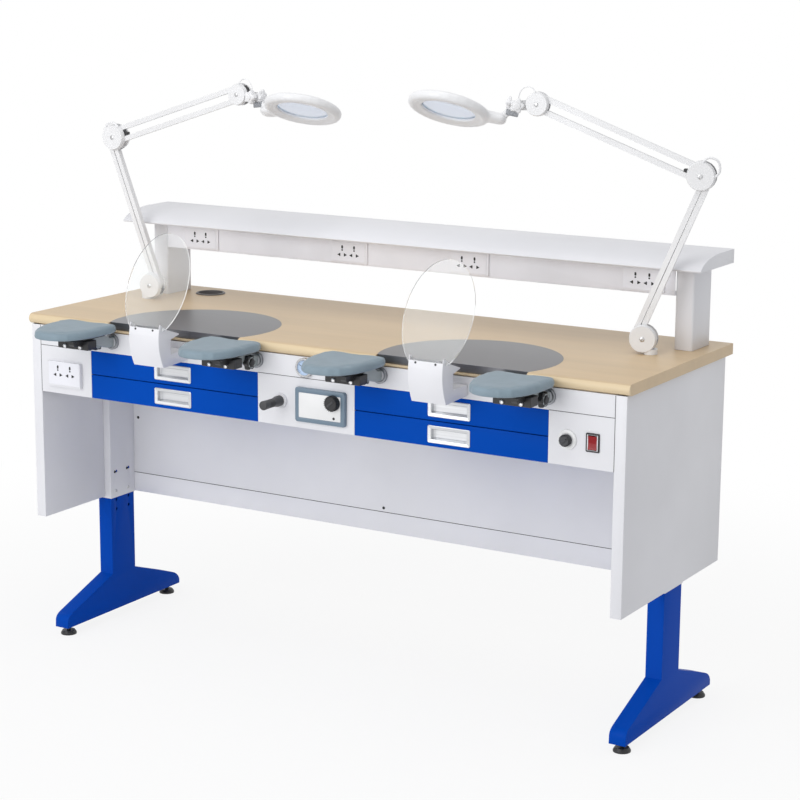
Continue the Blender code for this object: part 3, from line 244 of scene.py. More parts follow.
def vinyl(colour):
    """Soft matt vinyl with a leather grain."""
    paint = Paint("pad_vinyl", 0.58)
    drift = paint.noise(paint.place(), 30.0, 3.0)
    paint.set("Base Color", paint.ramp(drift, (0.30, shade(colour, 0.93)), (0.70, shade(colour, 1.05))))
    grain = paint.node("ShaderNodeTexVoronoi", {"feature": "DISTANCE_TO_EDGE"},
                       {"Vector": paint.place(), "Scale": 700.0})
    paint.set("Roughness", 0.62 - 0.25 * grain)
    paint.bump(grain, 0.16, 0.0004)
    paint.set("Sheen Weight", 0.15)


def arm_metal(colours):
    """An armrest's bracket: a grey bar at the root, and black at its end and under the pad."""
    paint = Paint("arm_metal", 0.40)
    x, y, z = paint.axes()
    grain = paint.noise(paint.place(), 500.0, 2.0)
    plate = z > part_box("armrest_pad_1")[0].z - 0.0058
    block = 1.0 - (1.0 - (y < FACE - 0.090)) * (1.0 - plate)
    pale = paint.ramp(grain, (0.3, shade(colours.bare_metal, 0.92)), (0.7, shade(colours.bare_metal, 1.05)))
    dark = paint.ramp(grain, (0.3, shade(colours.black, 0.9)), (0.7, shade(colours.black, 1.3)))
    paint.set("Base Color", paint.mix(block, pale, dark))
    paint.set("Roughness", 0.34 + 0.12 * grain)
    paint.bump(grain, 0.06, 0.0003)


def knuckle_white(name, inward, colours):
    """A lamp's knuckles: white caps, and black between them where the bars run, partly the black spring
    hooks and partly painted shade of the knuckle's shadowed inside.
    """
    paint = Paint("knuckle_" + name, 0.30)
    local_y, hub = lamp_frame(name, inward)[1:3]
    x, y, z = paint.axes()
    across = abs(x * local_y.x + y * local_y.y - hub.dot(local_y))
    # painted shade: the band between the caps is black, standing partly for the spring hooks and partly for
    # the shade inside the knuckle
    between = (across < BAR_GAP) * (z > hub.z - HUB_RADIUS)
    drift = paint.noise(paint.place(), 9.0, 2.0)
    white = paint.ramp(drift, (0.30, shade(colours.lamp, 0.96)), (0.70, shade(colours.lamp, 1.03)))
    paint.set("Base Color", paint.mix(between, white, tuple(colours.black)))
    grain = paint.noise(paint.place(), 700.0, 2.0)
    paint.set("Roughness", 0.26 + 0.08 * grain + 0.25 * between)


def clear_sheet(name, colour, roughness, index, clearness):
    """Clear moulded sheet or lens glass with very faint handling marks and a slight haze."""
    paint = Paint(name, roughness, transmission_weight=clearness, ior=index)
    marks = paint.noise(paint.place(), 55.0, 4.0, 0.7)
    paint.set("Base Color", tuple(colour))
    paint.set("Roughness", roughness + 0.02 * marks)
    return paint


def make_finishes(colours):
    laminate(colours)
    vinyl(tuple(colours.pads))
    arm_metal(colours)
    powder_coat("white_coat", tuple(colours.white))
    powder_coat("blue_coat", tuple(colours.blue), 0.46, specular_ior_level=0.04)
    powder_coat("leg_coat", tuple(colours.legs), 0.44, specular_ior_level=0.05)
    drawn_metal("steel_plate", tuple(colours.steel), 0.34)
    drawn_metal("screw_steel", (0.55, 0.55, 0.56), 0.28, (300, 300, 300))
    drawn_metal("bolt_steel", (0.86, 0.86, 0.87), 0.30, (300, 300, 300))
    drawn_metal("dark_steel", (0.30, 0.31, 0.33), 0.34, (300, 300, 300))
    drawn_metal("handle_metal", tuple(colours.handle), 0.36, (5, 5, 300))
    powder_coat("frame_grey", tuple(colours.frame), 0.34)
    moulded("black_plastic", tuple(colours.black), 0.40)
    moulded("dark_plastic", (0.045, 0.045, 0.05), 0.36)
    moulded("grommet_grey", (0.11, 0.105, 0.105), 0.42)
    moulded("red_plastic", tuple(colours.red), 0.24, coat_weight=0.1, specular_ior_level=0.25)
    moulded("lamp_white", tuple(colours.lamp), 0.30, 700.0, 0.0)
    moulded("socket_white", tuple(colours.socket), 0.30, 800.0, 0.0)
    # partly painted light: the rail's white is lighter and bluer than the panels to stand for the light that
    # falls under the shelf
    moulded("rail_white_with_painted_light", tuple(colours.rail), 0.32, 800.0, 0.0)
    moulded("dial_face", (0.45, 0.58, 0.78), 0.40, 400.0, 0.02)
    # one black for painted shade in the holes and panel gaps, and for the gauge's printed ticks and needle
    moulded("shade_and_dial_black", (0.006, 0.006, 0.007), 0.6)
    for name, inward in SIDES:
        knuckle_white(name, inward, colours)
    moulded("lens_edge", tuple(colours.lens_edge), 0.12, coat_weight=0.5)
    clear_sheet("clear_sheet", colours.sheet, 0.01, 1.25, 0.90)
    clear_sheet("lens_glass", colours.lens, 0.01, 1.06, 0.78)


def soften(node, width=0.0, crease=CREASE):
    """Shows a solid with eased edges and smooth round faces; its own mesh is left alone."""
    shown = NODES[node]
    weld = shown.modifiers.new("weld", "WELD")
    weld.merge_threshold = WELD_REACH
    if node.endswith("_head"):
        blend = shown.modifiers.new("blend", "REMESH")
        blend.mode = "VOXEL"
        blend.voxel_size = HEAD_GRID
        ease = shown.modifiers.new("ease", "SMOOTH")
        ease.factor = 0.5
        ease.iterations = 12
    if width:
        ease = shown.modifiers.new("ease", "BEVEL")
        ease.width = width
        ease.segments = 2
        ease.limit_method = "ANGLE"
        ease.angle_limit = radians(40)
        ease.use_clamp_overlap = True
    fill(shown.modifiers.new("smooth", "NODES"), smooth_tree(), {"Sharp angle": radians(crease)})


def add(tree, *kinds):
    """New nodes of the kinds given."""
    return [tree.nodes.new(kind) for kind in kinds]


def wire(tree, *pairs):
    """Joins outputs to inputs."""
    for start, end in pairs:
        tree.links.new(start, end)


def geometry_group(name, inputs):
    """A geometry node group with a mesh in, a mesh out and the other inputs given."""
    tree = bpy.data.node_groups.new(name, "GeometryNodeTree")
    for label, kind in (("Geometry", "Geometry"), *inputs):
        tree.interface.new_socket(label, in_out="INPUT", socket_type="NodeSocket" + kind)
    tree.interface.new_socket("Geometry", in_out="OUTPUT", socket_type="NodeSocketGeometry")
    return tree


def fill(modifier, tree, values):
    """Hangs a node group on a modifier and sets the group's inputs."""
    modifier.node_group = tree
    labels = {item.name: item.identifier for item in tree.interface.items_tree if item.in_out == "INPUT"}
    for label, value in values.items():
        modifier[labels[label]] = value


def smooth_tree():
    """Geometry nodes that shade faces smooth except across sharp edges."""
    name = "smooth_round_faces"
    if name in bpy.data.node_groups:
        return bpy.data.node_groups[name]
    tree = geometry_group(name, [("Sharp angle", "Float")])
    start, end, angle, test, faces, edges = add(
        tree, "NodeGroupInput", "NodeGroupOutput", "GeometryNodeInputMeshEdgeAngle", "FunctionNodeCompare",
        "GeometryNodeSetShadeSmooth", "GeometryNodeSetShadeSmooth")
    test.data_type = "FLOAT"
    test.operation = "LESS_THAN"
    edges.domain = "EDGE"
    wire(tree, (angle.outputs["Unsigned Angle"], test.inputs[0]),
         (start.outputs["Sharp angle"], test.inputs[1]),
         (start.outputs["Geometry"], faces.inputs["Geometry"]), (faces.outputs[0], edges.inputs["Geometry"]),
         (test.outputs[0], edges.inputs["Shade Smooth"]), (edges.outputs[0], end.inputs[0]))
    return tree


def clad(node, finish):
    """Gives a solid its finish."""
    mesh = NODES[node].data
    mesh.materials.clear()
    mesh.materials.append(FINISHES[finish])


def piece(name, form, finish, body):
    """Turns a bmesh into a finished piece that moves with a body of the bench."""
    bmesh.ops.recalc_face_normals(form, faces=form.faces)
    mesh = bpy.data.meshes.new(name)
    form.to_mesh(mesh)
    form.free()
    mesh.materials.append(FINISHES[finish])
    return ridden(name, mesh, body)


def ridden(name, mesh, body):
    """An object with smooth round faces that moves with a body of the bench."""
    mesh.polygons.foreach_set("use_smooth", [True] * len(mesh.polygons))
    mesh.set_sharp_from_angle(angle=radians(CREASE))
    made = bpy.data.objects.new(name, mesh)
    bpy.context.scene.collection.objects.link(made)
    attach(made, body)
    return made


def lathe(profile, sides, place=Matrix.Identity(4)):
    """A closed turned form from (radius, height) points, first and last on the axis or joined up."""
    form = bmesh.new()
    rings = []
    for radius, height in profile:
        turns = [2 * pi * k / sides for k in range(sides if radius > 1e-7 else 1)]
        rings.append([form.verts.new((radius * cos(turn), radius * sin(turn), height)) for turn in turns])
    pairs = list(zip(rings, rings[1:]))
    if len(rings[0]) > 1 and len(rings[-1]) > 1:
        pairs.append((rings[-1], rings[0]))
    for low, high in pairs:
        for k in range(sides):
            after = (k + 1) % sides
            around = ((low, k), (low, after), (high, after), (high, k))
            corners = [ring[turn % len(ring)] for ring, turn in around]
            corners = list(dict.fromkeys(corners))
            if len(corners) > 2:
                form.faces.new(corners)
    form.transform(place)
    return form


def facing(place, direction):
    """A placing that stands a form's Z along a direction."""
    turn = Vector(direction).normalized().to_track_quat("Z", "Y").to_matrix().to_4x4()
    return Matrix.Translation(place) @ turn


def front_facing(place):
    """A placing for something on the fronts: its X along the bench, its Y up, its Z out to the user."""
    return Matrix.Translation(place) @ Matrix.Rotation(radians(90), 4, "X")


def round_rectangle(half_wide, half_tall, radius):
    """The corners of a rectangle with rounded corners, as points."""
    steps = 5
    radius = max(min(radius, half_wide - 1e-5, half_tall - 1e-5), 1e-5)
    points = []
    for corner in range(4):
        turn = pi / 2 * corner
        middle = ((half_wide - radius) * (1 if corner in (0, 3) else -1),
                  (half_tall - radius) * (1 if corner in (0, 1) else -1))
        for k in range(steps + 1):
            angle = turn + pi / 2 * k / steps
            points.append((middle[0] + radius * cos(angle), middle[1] + radius * sin(angle)))
    return points


def skin(form, loops, closed=False):
    """Faces between loops of as many points each, with flat ends or joined up."""
    pairs = list(zip(loops, loops[1:]))
    if closed:
        pairs.append((loops[-1], loops[0]))
    else:
        form.faces.new(loops[0][::-1])
        form.faces.new(loops[-1])
    count = len(loops[0])
    for low, high in pairs:
        for k in range(count):
            form.faces.new((low[k], low[(k + 1) % count], high[(k + 1) % count], high[k]))


def moulding(half_wide, half_tall, radius, steps, place, ring=False):
    """A form lofted through rounded rectangles, each drawn in by an inset at a height."""
    form = bmesh.new()
    loops = []
    for inset, height in steps:
        outline = round_rectangle(half_wide - inset, half_tall - inset, max(radius - inset, 0.0008))
        loops.append([form.verts.new((x, y, height)) for x, y in outline])
    skin(form, loops, ring)
    form.transform(place)
    return form


def prism(points, low, high):
    """A flat form with the outline given."""
    form = bmesh.new()
    skin(form, [[form.verts.new((x, y, height)) for x, y in points] for height in (low, high)])
    return form


def on_front(node, x, z):
    """Where a line from the user meets a solid, and the way that the surface faces there."""
    tree = BVHTree.FromPolygons([corner.co for corner in NODES[node].data.vertices],
                                [face.vertices for face in NODES[node].data.polygons])
    place, normal, index, distance = tree.ray_cast(Vector((x, -2, z)), -OUT)
    return place, normal if normal.y < 0 else -normal


def merged(forms):
    """Several forms in one bmesh."""
    whole = bmesh.new()
    for form in forms:
        mesh = bpy.data.meshes.new("part")
        form.to_mesh(mesh)
        form.free()
        whole.from_mesh(mesh)
        bpy.data.meshes.remove(mesh)
    return whole


def pattern_tree():
    """Geometry nodes that stand a small part on each point, turned to the point's facing."""
    name = "stand_on_points"
    if name in bpy.data.node_groups:
        return bpy.data.node_groups[name]
    tree = geometry_group(name, [("Part", "Object"), ("Finish", "Material")])
    start, end, part, way, turn, spread, solid, coat = add(
        tree, "NodeGroupInput", "NodeGroupOutput", "GeometryNodeObjectInfo",
        "GeometryNodeInputNamedAttribute", "FunctionNodeEulerToRotation", "GeometryNodeInstanceOnPoints",
        "GeometryNodeRealizeInstances", "GeometryNodeSetMaterial")
    way.data_type = "FLOAT_VECTOR"
    way.inputs["Name"].default_value = "turn"
    wire(tree, (start.outputs["Part"], part.inputs["Object"]), (way.outputs["Attribute"], turn.inputs[0]),
         (start.outputs["Geometry"], spread.inputs["Points"]),
         (part.outputs["Geometry"], spread.inputs["Instance"]),
         (turn.outputs[0], spread.inputs["Rotation"]), (spread.outputs[0], solid.inputs[0]),
         (solid.outputs[0], coat.inputs["Geometry"]), (start.outputs["Finish"], coat.inputs["Material"]),
         (coat.outputs[0], end.inputs[0]))
    return tree


def repeat(name, form, finish, body, places):
    """Stands copies of one small form at several places of one body, as one piece."""
    mesh = bpy.data.meshes.new(name + "_part")
    bmesh.ops.recalc_face_normals(form, faces=form.faces)
    form.to_mesh(mesh)
    form.free()
    part = bpy.data.objects.new(name + "_part", mesh)
    points = bpy.data.meshes.new(name + "_places")
    points.from_pydata([place.to_translation() for place in places], [], [])
    turn = points.attributes.new("turn", "FLOAT_VECTOR", "POINT")
    turn.data.foreach_set("vector", [v for place in places for v in place.to_euler()])
    source = bpy.data.objects.new(name + "_source", points)
    for made in (part, source):
        bpy.context.scene.collection.objects.link(made)
    fill(source.modifiers.new("pattern", "NODES"), pattern_tree(),
         {"Part": part, "Finish": FINISHES[finish]})
    bpy.context.view_layer.update()
    graph = bpy.context.evaluated_depsgraph_get()
    result = bpy.data.meshes.new_from_object(source.evaluated_get(graph))
    result.name = name
    for made in (part, source):
        bpy.data.objects.remove(made)
    return ridden(name, result, body)


def screw(radius, tall=0.0016):
    """A domed screw head with a socket in it."""
    dome = [(0, 0.35), (0.42, 0.35), (0.48, 1.0), (0.75, 0.85), (0.95, 0.4), (1.0, 0.0)]
    profile = [(radius * out, tall * up) for out, up in dome]
    return lathe(profile + [(radius, -0.0008), (0, -0.0008)], 14)


def lobed(radius, tall, place, lobes=6, depth=0.21):
    """A star knob: rounded lobes round a hub, with a raised centre."""
    form = bmesh.new()
    turns = [2 * pi * k / (lobes * 8) for k in range(lobes * 8)]
    rim = [(0.62, -0.0002), (0.96, 0.0006), (1.0, tall * 0.35), (0.96, tall * 0.75), (0.80, tall * 0.92)]
    hub = [(0.45, tall * 0.94), (0.42, tall * 1.12), (0.30, tall * 1.16)]
    loops = []
    for scale, height in rim + hub:
        dip = depth if (scale, height) in rim else 0.0
        reach = [radius * scale * (1 - dip * (1 - cos(lobes * turn)) / 2) for turn in turns]
        loops.append([form.verts.new((far * cos(turn), far * sin(turn), height))
                      for far, turn in zip(reach, turns)])
    skin(form, loops)
    form.transform(place)
    return form


def lamp_frame(name, inward):
    """The lamp's own axes and its knuckles' centres, read from its joints."""
    label = "lamp_" + name + "_"
    local_y = -Vector(JOINTS[label + "lower_tilt"]["axis"])
    local_x = local_y.cross(UP) * inward
    hub = Vector(JOINTS[label + "lower_tilt"]["pos_m"]) - local_x * 0.0162 - UP * 0.0050
    elbow = Vector(JOINTS[label + "elbow_level"]["pos_m"]) + local_x * 0.0122 + UP * 0.0080
    neck = Vector(JOINTS[label + "head_level"]["pos_m"]) + local_x * 0.010 - UP * 0.015
    return local_x, local_y, hub, elbow, neck


def head_frame(name, inward):
    """A lamp head's tilt pivot, its own axes there and its lens's centre."""
    label = "lamp_" + name + "_"
    pivot = Vector(JOINTS[label + "head_tilt"]["pos_m"])
    across = -Vector(JOINTS[label + "head_tilt"]["axis"])
    low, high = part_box(label + "lens")
    centre = (low + high) / 2
    level = across.cross(UP) * inward
    reach = centre - pivot
    slope = atan2(reach.dot(UP), reach.dot(level)) - atan2(-LENS_BELOW_PIVOT, LENS_FROM_PIVOT)
    along = level * cos(slope) + UP * sin(slope)
    rise = UP * cos(slope) - level * sin(slope)
    return pivot, along, across, rise, centre


def tube(points, radius):
    """A closed round tube through points, smoothed between them."""
    curve = bpy.data.curves.new("tube", "CURVE")
    curve.dimensions = "3D"
    curve.bevel_depth = radius
    curve.bevel_resolution = 2
    curve.use_fill_caps = True
    curve.resolution_u = 8
    line = curve.splines.new("NURBS")
    line.points.add(len(points) - 1)
    for spot, place in zip(line.points, points):
        spot.co = (*place, 1.0)
    line.use_endpoint_u = True
    line.order_u = 3
    holder = bpy.data.objects.new("tube", curve)
    bpy.context.scene.collection.objects.link(holder)
    bpy.context.view_layer.update()
    mesh = bpy.data.meshes.new_from_object(holder.evaluated_get(bpy.context.evaluated_depsgraph_get()))
    form = bmesh.new()
    form.from_mesh(mesh)
    bmesh.ops.remove_doubles(form, verts=form.verts, dist=WELD_REACH)
    bpy.data.objects.remove(holder)
    bpy.data.curves.remove(curve)
    bpy.data.meshes.remove(mesh)
    return form


def metres(label, note, value):
    """A setting in metres."""
    return bpy.props.FloatProperty(name=label, description=note, default=value, unit="LENGTH")


def tint(label, note, value):
    """A setting for a finish's colour."""
    return bpy.props.FloatVectorProperty(name=label, description=note, default=value, subtype="COLOR")


class BenchSizes(bpy.types.PropertyGroup):
    """Sizes of the fittings that are dressed on to the bench."""
    edge: metres("Eased edge", "Rounding of sheet and board edges", 0.0012)
    pad_pressure: bpy.props.FloatProperty(name="Pad pressure", description="How hard the pads are stuffed",
                                          default=4.0)
    pad_swell: metres("Pad swell", "Most that a pad's skin may move", 0.0016)
    screw_radius: metres("Screw radius", "Heads of the panel screws", 0.0042)
    outlet_pitch: metres("Outlet pitch", "Between two outlets on a plate", 0.034)


class BenchColours(bpy.types.PropertyGroup):
    """Colours of the finishes."""
    laminate: tint("Laminate", "Worktop's wood pattern", (0.620, 0.465, 0.285))
    nose: tint("Nose", "Worktop's front edge", (0.70, 0.56, 0.36))
    white: tint("White", "Panels, boxes and shelf", (0.76, 0.76, 0.79))
    blue: tint("Blue", "Drawers", (0.0, 0.064, 0.42))
    legs: tint("Leg blue", "Legs", (0.0, 0.060, 0.42))
    pads: tint("Pads", "Armrest vinyl", (0.205, 0.275, 0.325))
    steel: tint("Steel", "Plates set in the worktop", (0.195, 0.198, 0.212))
    handle: tint("Handles", "Drawer handle cups", (0.66, 0.67, 0.69))
    frame: tint("Unit frame", "Frame of the control unit", (0.155, 0.220, 0.285))
    bare_metal: tint("Arm metal", "Armrest bars", (0.36, 0.40, 0.41))
    black: tint("Black", "Knobs, feet and clamps", (0.016, 0.016, 0.018))
    red: tint("Red", "Mains rocker", (0.26, 0.004, 0.008))
    lamp: tint("Lamp white", "Lamp arms and heads", (0.80, 0.80, 0.81))
    socket: tint("Socket white", "Control plate and switch ring", (0.80, 0.80, 0.80))
    # partly painted light: lighter and bluer than the panel white to stand for the light on the rail under
    # the shelf
    rail: tint("Rail white", "Socket rail under the shelf", (0.82, 0.82, 0.87))
    sheet: tint("Shield", "Clear shields", (0.97, 0.98, 0.98))
    lens: tint("Lens", "Magnifier lenses", (0.80, 0.84, 0.92))
    lens_edge: tint("Lens edge", "Ground edge of the lenses", (0.25, 0.62, 0.70))


class StageSettings(bpy.types.PropertyGroup):
    """Camera and light."""
    eye: bpy.props.FloatVectorProperty(name="Eye", description="Camera's place", unit="LENGTH",
                                       default=(2.6115, -4.1676, 1.7349))
    aim: bpy.props.FloatVectorProperty(name="Aim", description="Camera's turn in degrees",
                                       default=(77.8447, -0.3739, 30.7435))
    lens: bpy.props.FloatProperty(name="Lens", description="Focal length in millimetres", default=97.03)
    sky: bpy.props.FloatProperty(name="Sky", description="Strength of the even light", default=0.62)
    key: bpy.props.FloatProperty(name="Key", description="Power of the main soft light", default=70.0,
                                 unit="POWER")


class BENCH_OT_solids(bpy.types.Operator):
    """Give the bench's solids their finishes and eased edges"""
    bl_idname = "bench.solids"
    bl_label = "Finish the solids"

    def execute(self, context):
        edge = context.scene.bench_sizes.edge
        make_finishes(context.scene.bench_colours)
        for node in NODES:
            clad(node, self.finish_of(node))
            soften(node, self.edge_of(node, edge), HEAD_CREASE if node.endswith("_head") else CREASE)
        return {"FINISHED"}

    def finish_of(self, node):
        for start, finish in (("worktop", "laminate"), ("inset", "steel_plate"), ("drawer", "blue_coat"),
                              ("leg_left", "leg_coat"), ("leg_right", "leg_coat"),
                              ("armrest_arm", "arm_metal"), ("shield", "clear_sheet"),
                              ("leveller", "black_plastic"), ("motor", "black_plastic"),
                              ("selector", "dark_plastic"), ("air", "dark_plastic"),
                              ("cable", "grommet_grey"), ("power", "red_plastic"),
                              ("armrest_pad", "pad_vinyl"), ("socket_rail", "rail_white_with_painted_light")):
            if node.startswith(start):
                return finish
        if node.endswith("lens"):
            return "lens_glass"
        if node.endswith(("base", "elbow", "knuckle")):
            return "knuckle_" + node.split("_")[1]
        return "lamp_white" if node.startswith("lamp") else "white_coat"

    def edge_of(self, node, edge):
        if node.startswith(("side_panel", "shelf", "leg_left", "leg_right")):
            return edge
        if node.startswith(("drawer", "suction", "modesty", "socket_rail", "leg_sleeve")):
            return edge * 0.4
        return 0.0


class BENCH_OT_pads(bpy.types.Operator):
    """Stuff the armrest pads by cloth simulation"""
    bl_idname = "bench.pads"
    bl_label = "Stuff the pads"

    def execute(self, context):
        sizes = context.scene.bench_sizes
        for number in range(1, 5):
            node = "armrest_pad_%d" % number
            pad = self.stuffed(node, sizes)
            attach(pad, "armrest_%d" % number)
            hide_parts(node)
        return {"FINISHED"}

    def plan(self, node):
        """The pad's outline seen from above, read from its widest ring, and its middle."""
        low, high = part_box(node)
        level = low.z + WIDEST_RING * (high.z - low.z)
        spots = {(round(corner.co.x, 5), round(corner.co.y, 5)) for corner in NODES[node].data.vertices
                 if abs(corner.co.z - level) < 0.0004}
        middle = Vector([sum(spot[k] for spot in spots) / len(spots) for k in range(2)])
        return sorted(spots, key=lambda spot: atan2(spot[1] - middle.y, spot[0] - middle.x)), middle

    def stuffed(self, node, sizes):
        low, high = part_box(node)
        outline, middle = self.plan(node)
        form = bmesh.new()
        loops = []
        for size, level in PAD_SECTIONS:
            height = low.z + (high.z - low.z - sizes.pad_swell) * level
            loops.append([form.verts.new((middle.x + (x - middle.x) * size, middle.y + (y - middle.y) * size,
                                          height)) for x, y in outline])
        count = len(outline)
        for lower, upper in zip(loops, loops[1:]):
            for k in range(count):
                form.faces.new((lower[k], lower[(k + 1) % count], upper[(k + 1) % count], upper[k]))
        form.faces.new(loops[0][::-1])
        form.faces.new(loops[-1])
        mesh = bpy.data.meshes.new("padded_" + node)
        form.to_mesh(mesh)
        form.free()
        mesh.materials.append(FINISHES["pad_vinyl"])
        pad = bpy.data.objects.new("padded_" + node, mesh)
        bpy.context.scene.collection.objects.link(pad)
        remesh = pad.modifiers.new("remesh", "REMESH")
        remesh.mode = "VOXEL"
        remesh.voxel_size = 0.0035
        self.keep(pad)
        self.inflate(pad, low, sizes)
        for corner in pad.data.vertices:
            corner.co = [min(max(corner.co[k], low[k] - 0.001), high[k] + 0.001) for k in range(3)]
            corner.co.z = max(corner.co.z, low.z + 0.0004)
        ease = pad.modifiers.new("ease", "SMOOTH")
        ease.factor = 0.5
        ease.iterations = 4
        finer = pad.modifiers.new("finer", "SUBSURF")
        finer.levels = 1
        finer.render_levels = 1
        self.keep(pad)
        pad.data.polygons.foreach_set("use_smooth", [True] * len(pad.data.polygons))
        return pad

    def inflate(self, pad, low, sizes):
        start = [corner.co.copy() for corner in pad.data.vertices]
        base = pad.vertex_groups.new(name="base")
        base.add([k for k, place in enumerate(start) if place.z < low.z + 0.003], 1.0, "REPLACE")
        cloth = pad.modifiers.new("cloth", "CLOTH")
        cloth.settings.quality = 5
        cloth.settings.use_pressure = True
        cloth.settings.uniform_pressure_force = sizes.pad_pressure
        cloth.settings.effector_weights.gravity = 0.0
        cloth.settings.vertex_group_mass = "base"
        scene = bpy.context.scene
        for step in range(1, 21):
            scene.frame_set(step)
        self.keep(pad)
        scene.frame_set(1)
        for corner, place in zip(pad.data.vertices, start):
            move = corner.co - place
            if move.length > sizes.pad_swell:
                corner.co = place + move.normalized() * sizes.pad_swell

    def keep(self, pad):
        graph = bpy.context.evaluated_depsgraph_get()
        mesh = bpy.data.meshes.new_from_object(pad.evaluated_get(graph))
        pad.modifiers.clear()
        old = pad.data
        pad.data = mesh
        bpy.data.meshes.remove(old)


class BENCH_OT_drawer_cups(bpy.types.Operator):
    """Fit the pressed metal cups in the drawer fronts"""
    bl_idname = "bench.drawer_cups"
    bl_label = "Fit the drawer cups"
    HALF_SIZE = (0.0533, 0.0198)
    CORNER = 0.004
    BELOW_MIDDLE = 0.0005
    SECTION = ((0.0066, -0.0122), (0.0062, -0.0110), (0.0062, 0.0002), (0.0, 0.0002), (0.0003, 0.0013),
               (0.0018, 0.0021), (0.0078, 0.0011), (0.0090, -0.0004), (0.0100, -0.0090), (0.0118, -0.0106))

    def execute(self, context):
        for side in ("left", "right"):
            for level in ("lower", "upper"):
                node = "drawer_%s_%s" % (side, level)
                low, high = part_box(node)
                middle = Vector(((low.x + high.x) / 2, FACE, (low.z + high.z) / 2 - self.BELOW_MIDDLE))
                cup = moulding(*self.HALF_SIZE, self.CORNER, self.SECTION, front_facing(middle))
                piece("handle_cup_%s_%s" % (side, level), cup, "handle_metal", node)
        return {"FINISHED"}


class BENCH_OT_fasteners(bpy.types.Operator):
    """Stand the screws and bolts on the bench's panels and lamp knuckles"""
    bl_idname = "bench.fasteners"
    bl_label = "Set the fasteners"
    SUCTION_SCREWS = (0.017, 0.066)     # across a suction box
    SUCTION_SCREW_DROP = 0.014
    SLEEVE_SCREWS = (0.0727, 0.1227)    # back from the bench's middle
    SLEEVE_SCREW_LEVEL = 0.337
    SLEEVE_HOLE_LEVEL = 0.388
    SLEEVE_HOLE_SHIFT = 0.004
    BACK_HOLES = ((-0.7326, 0.517), (0.0073, 0.3815), (0.7326, 0.517))
    # profile of a black disc of painted shade that stands for the dark inside of a hole
    HOLE_SHADE_DISC = ((0, 0.0003), (0.0022, 0.0003), (0.0034, 0.0008), (0.0038, 0.0002), (0.0038, -0.0006),
            (0, -0.0006))
    BETWEEN_PANELS = 0.7677             # half of the fronts' width
    PANEL_SEAM = 0.7678
    RUNNER_DEPTH = 0.0195
    SEAM_SHADOW_HALF = 0.0006
    BACK_SEAM_SHADOW_HALF = 0.0007
    KNUCKLE_SCREWS = (("base", 0.0058), ("elbow", 0.0060), ("head_knuckle", 0.0052))
    KNUCKLE_REACH = 0.0178

    def execute(self, context):
        self.panel_screws(context.scene.bench_sizes.screw_radius)
        self.seam_shadows()
        for name, inward in SIDES:
            self.knuckle_screws(name, inward)
        return {"FINISHED"}

    def panel_screws(self, radius):
        screws = []
        holes = []
        small = []
        for side, way in SIDES:
            low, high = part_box("suction_box_" + side)
            for across in self.SUCTION_SCREWS:
                spot = on_front("suction_box_" + side, low.x + across, high.z - self.SUCTION_SCREW_DROP)
                small.append(facing(*spot))
            low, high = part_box("leg_sleeve_" + side)
            inner = high.x if side == "left" else low.x
            for depth in self.SLEEVE_SCREWS:
                screws.append(facing((inner, depth, self.SLEEVE_SCREW_LEVEL), (way, 0, 0)))
                hole = (inner, depth - self.SLEEVE_HOLE_SHIFT, self.SLEEVE_HOLE_LEVEL)
                holes.append(facing(hole, (way, 0, 0)))
        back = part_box("modesty_panel")[0].y
        holes += [facing((across, back, height), OUT) for across, height in self.BACK_HOLES]
        repeat("panel_screws", screw(radius), "screw_steel", "bench", screws)
        repeat("suction_screws", screw(radius * 0.62), "dark_plastic", "bench", small)
        # painted shade: black discs stand for the dark insides of the holes in the leg sleeves and the
        # modesty panel
        repeat("panel_plugs", lathe(self.HOLE_SHADE_DISC, 14), "shade_and_dial_black", "bench", holes)

    def seam_shadows(self):
        """The shadow lines between the fronts, the side panels and the back panels."""
        forms = []
        rail_low, rail_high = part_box("front_rail")
        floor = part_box("switch_box")[0].z
        for box in ("socket_box", "control_box", "switch_box"):
            low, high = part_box(box)
            start = max(low.x, -self.BETWEEN_PANELS) + self.RUNNER_DEPTH * (box != "socket_box")
            stop = min(high.x, self.BETWEEN_PANELS) - self.RUNNER_DEPTH * (box != "switch_box")
            middle = ((start + stop) / 2, FACE, rail_low.z)
            forms.append(self.seam((stop - start) / 2, self.SEAM_SHADOW_HALF, middle))
        for across in (-self.PANEL_SEAM, self.PANEL_SEAM):
            forms.append(self.seam(self.SEAM_SHADOW_HALF, (rail_high.z - floor) / 2,
                                   (across, FACE, (rail_high.z + floor) / 2)))
        low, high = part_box("modesty_panel")
        forms.append(self.seam((high.x - low.x) / 2 - 0.001, self.BACK_SEAM_SHADOW_HALF, (0, low.y, low.z)))
        # painted shadow: thin dark strips stand for the shade in the narrow gaps at the panel joints
        piece("panel_seams", merged(forms), "shade_and_dial_black", "bench")

    def seam(self, half_wide, half_tall, middle):
        return moulding(half_wide, half_tall, 0.0002, [(0, -0.0004), (0, 0.0003)], front_facing(middle))

    def knuckle_screws(self, name, inward):
        local_x, local_y, *centres = lamp_frame(name, inward)
        for (body, size), centre in zip(self.KNUCKLE_SCREWS, centres):
            places = [facing(centre + local_y * way * self.KNUCKLE_REACH, local_y * way) for way in (-1, 1)]
            label = "lamp_%s_%s" % (name, body)
            repeat(label + "_screws", screw(size), "screw_steel", label, places)


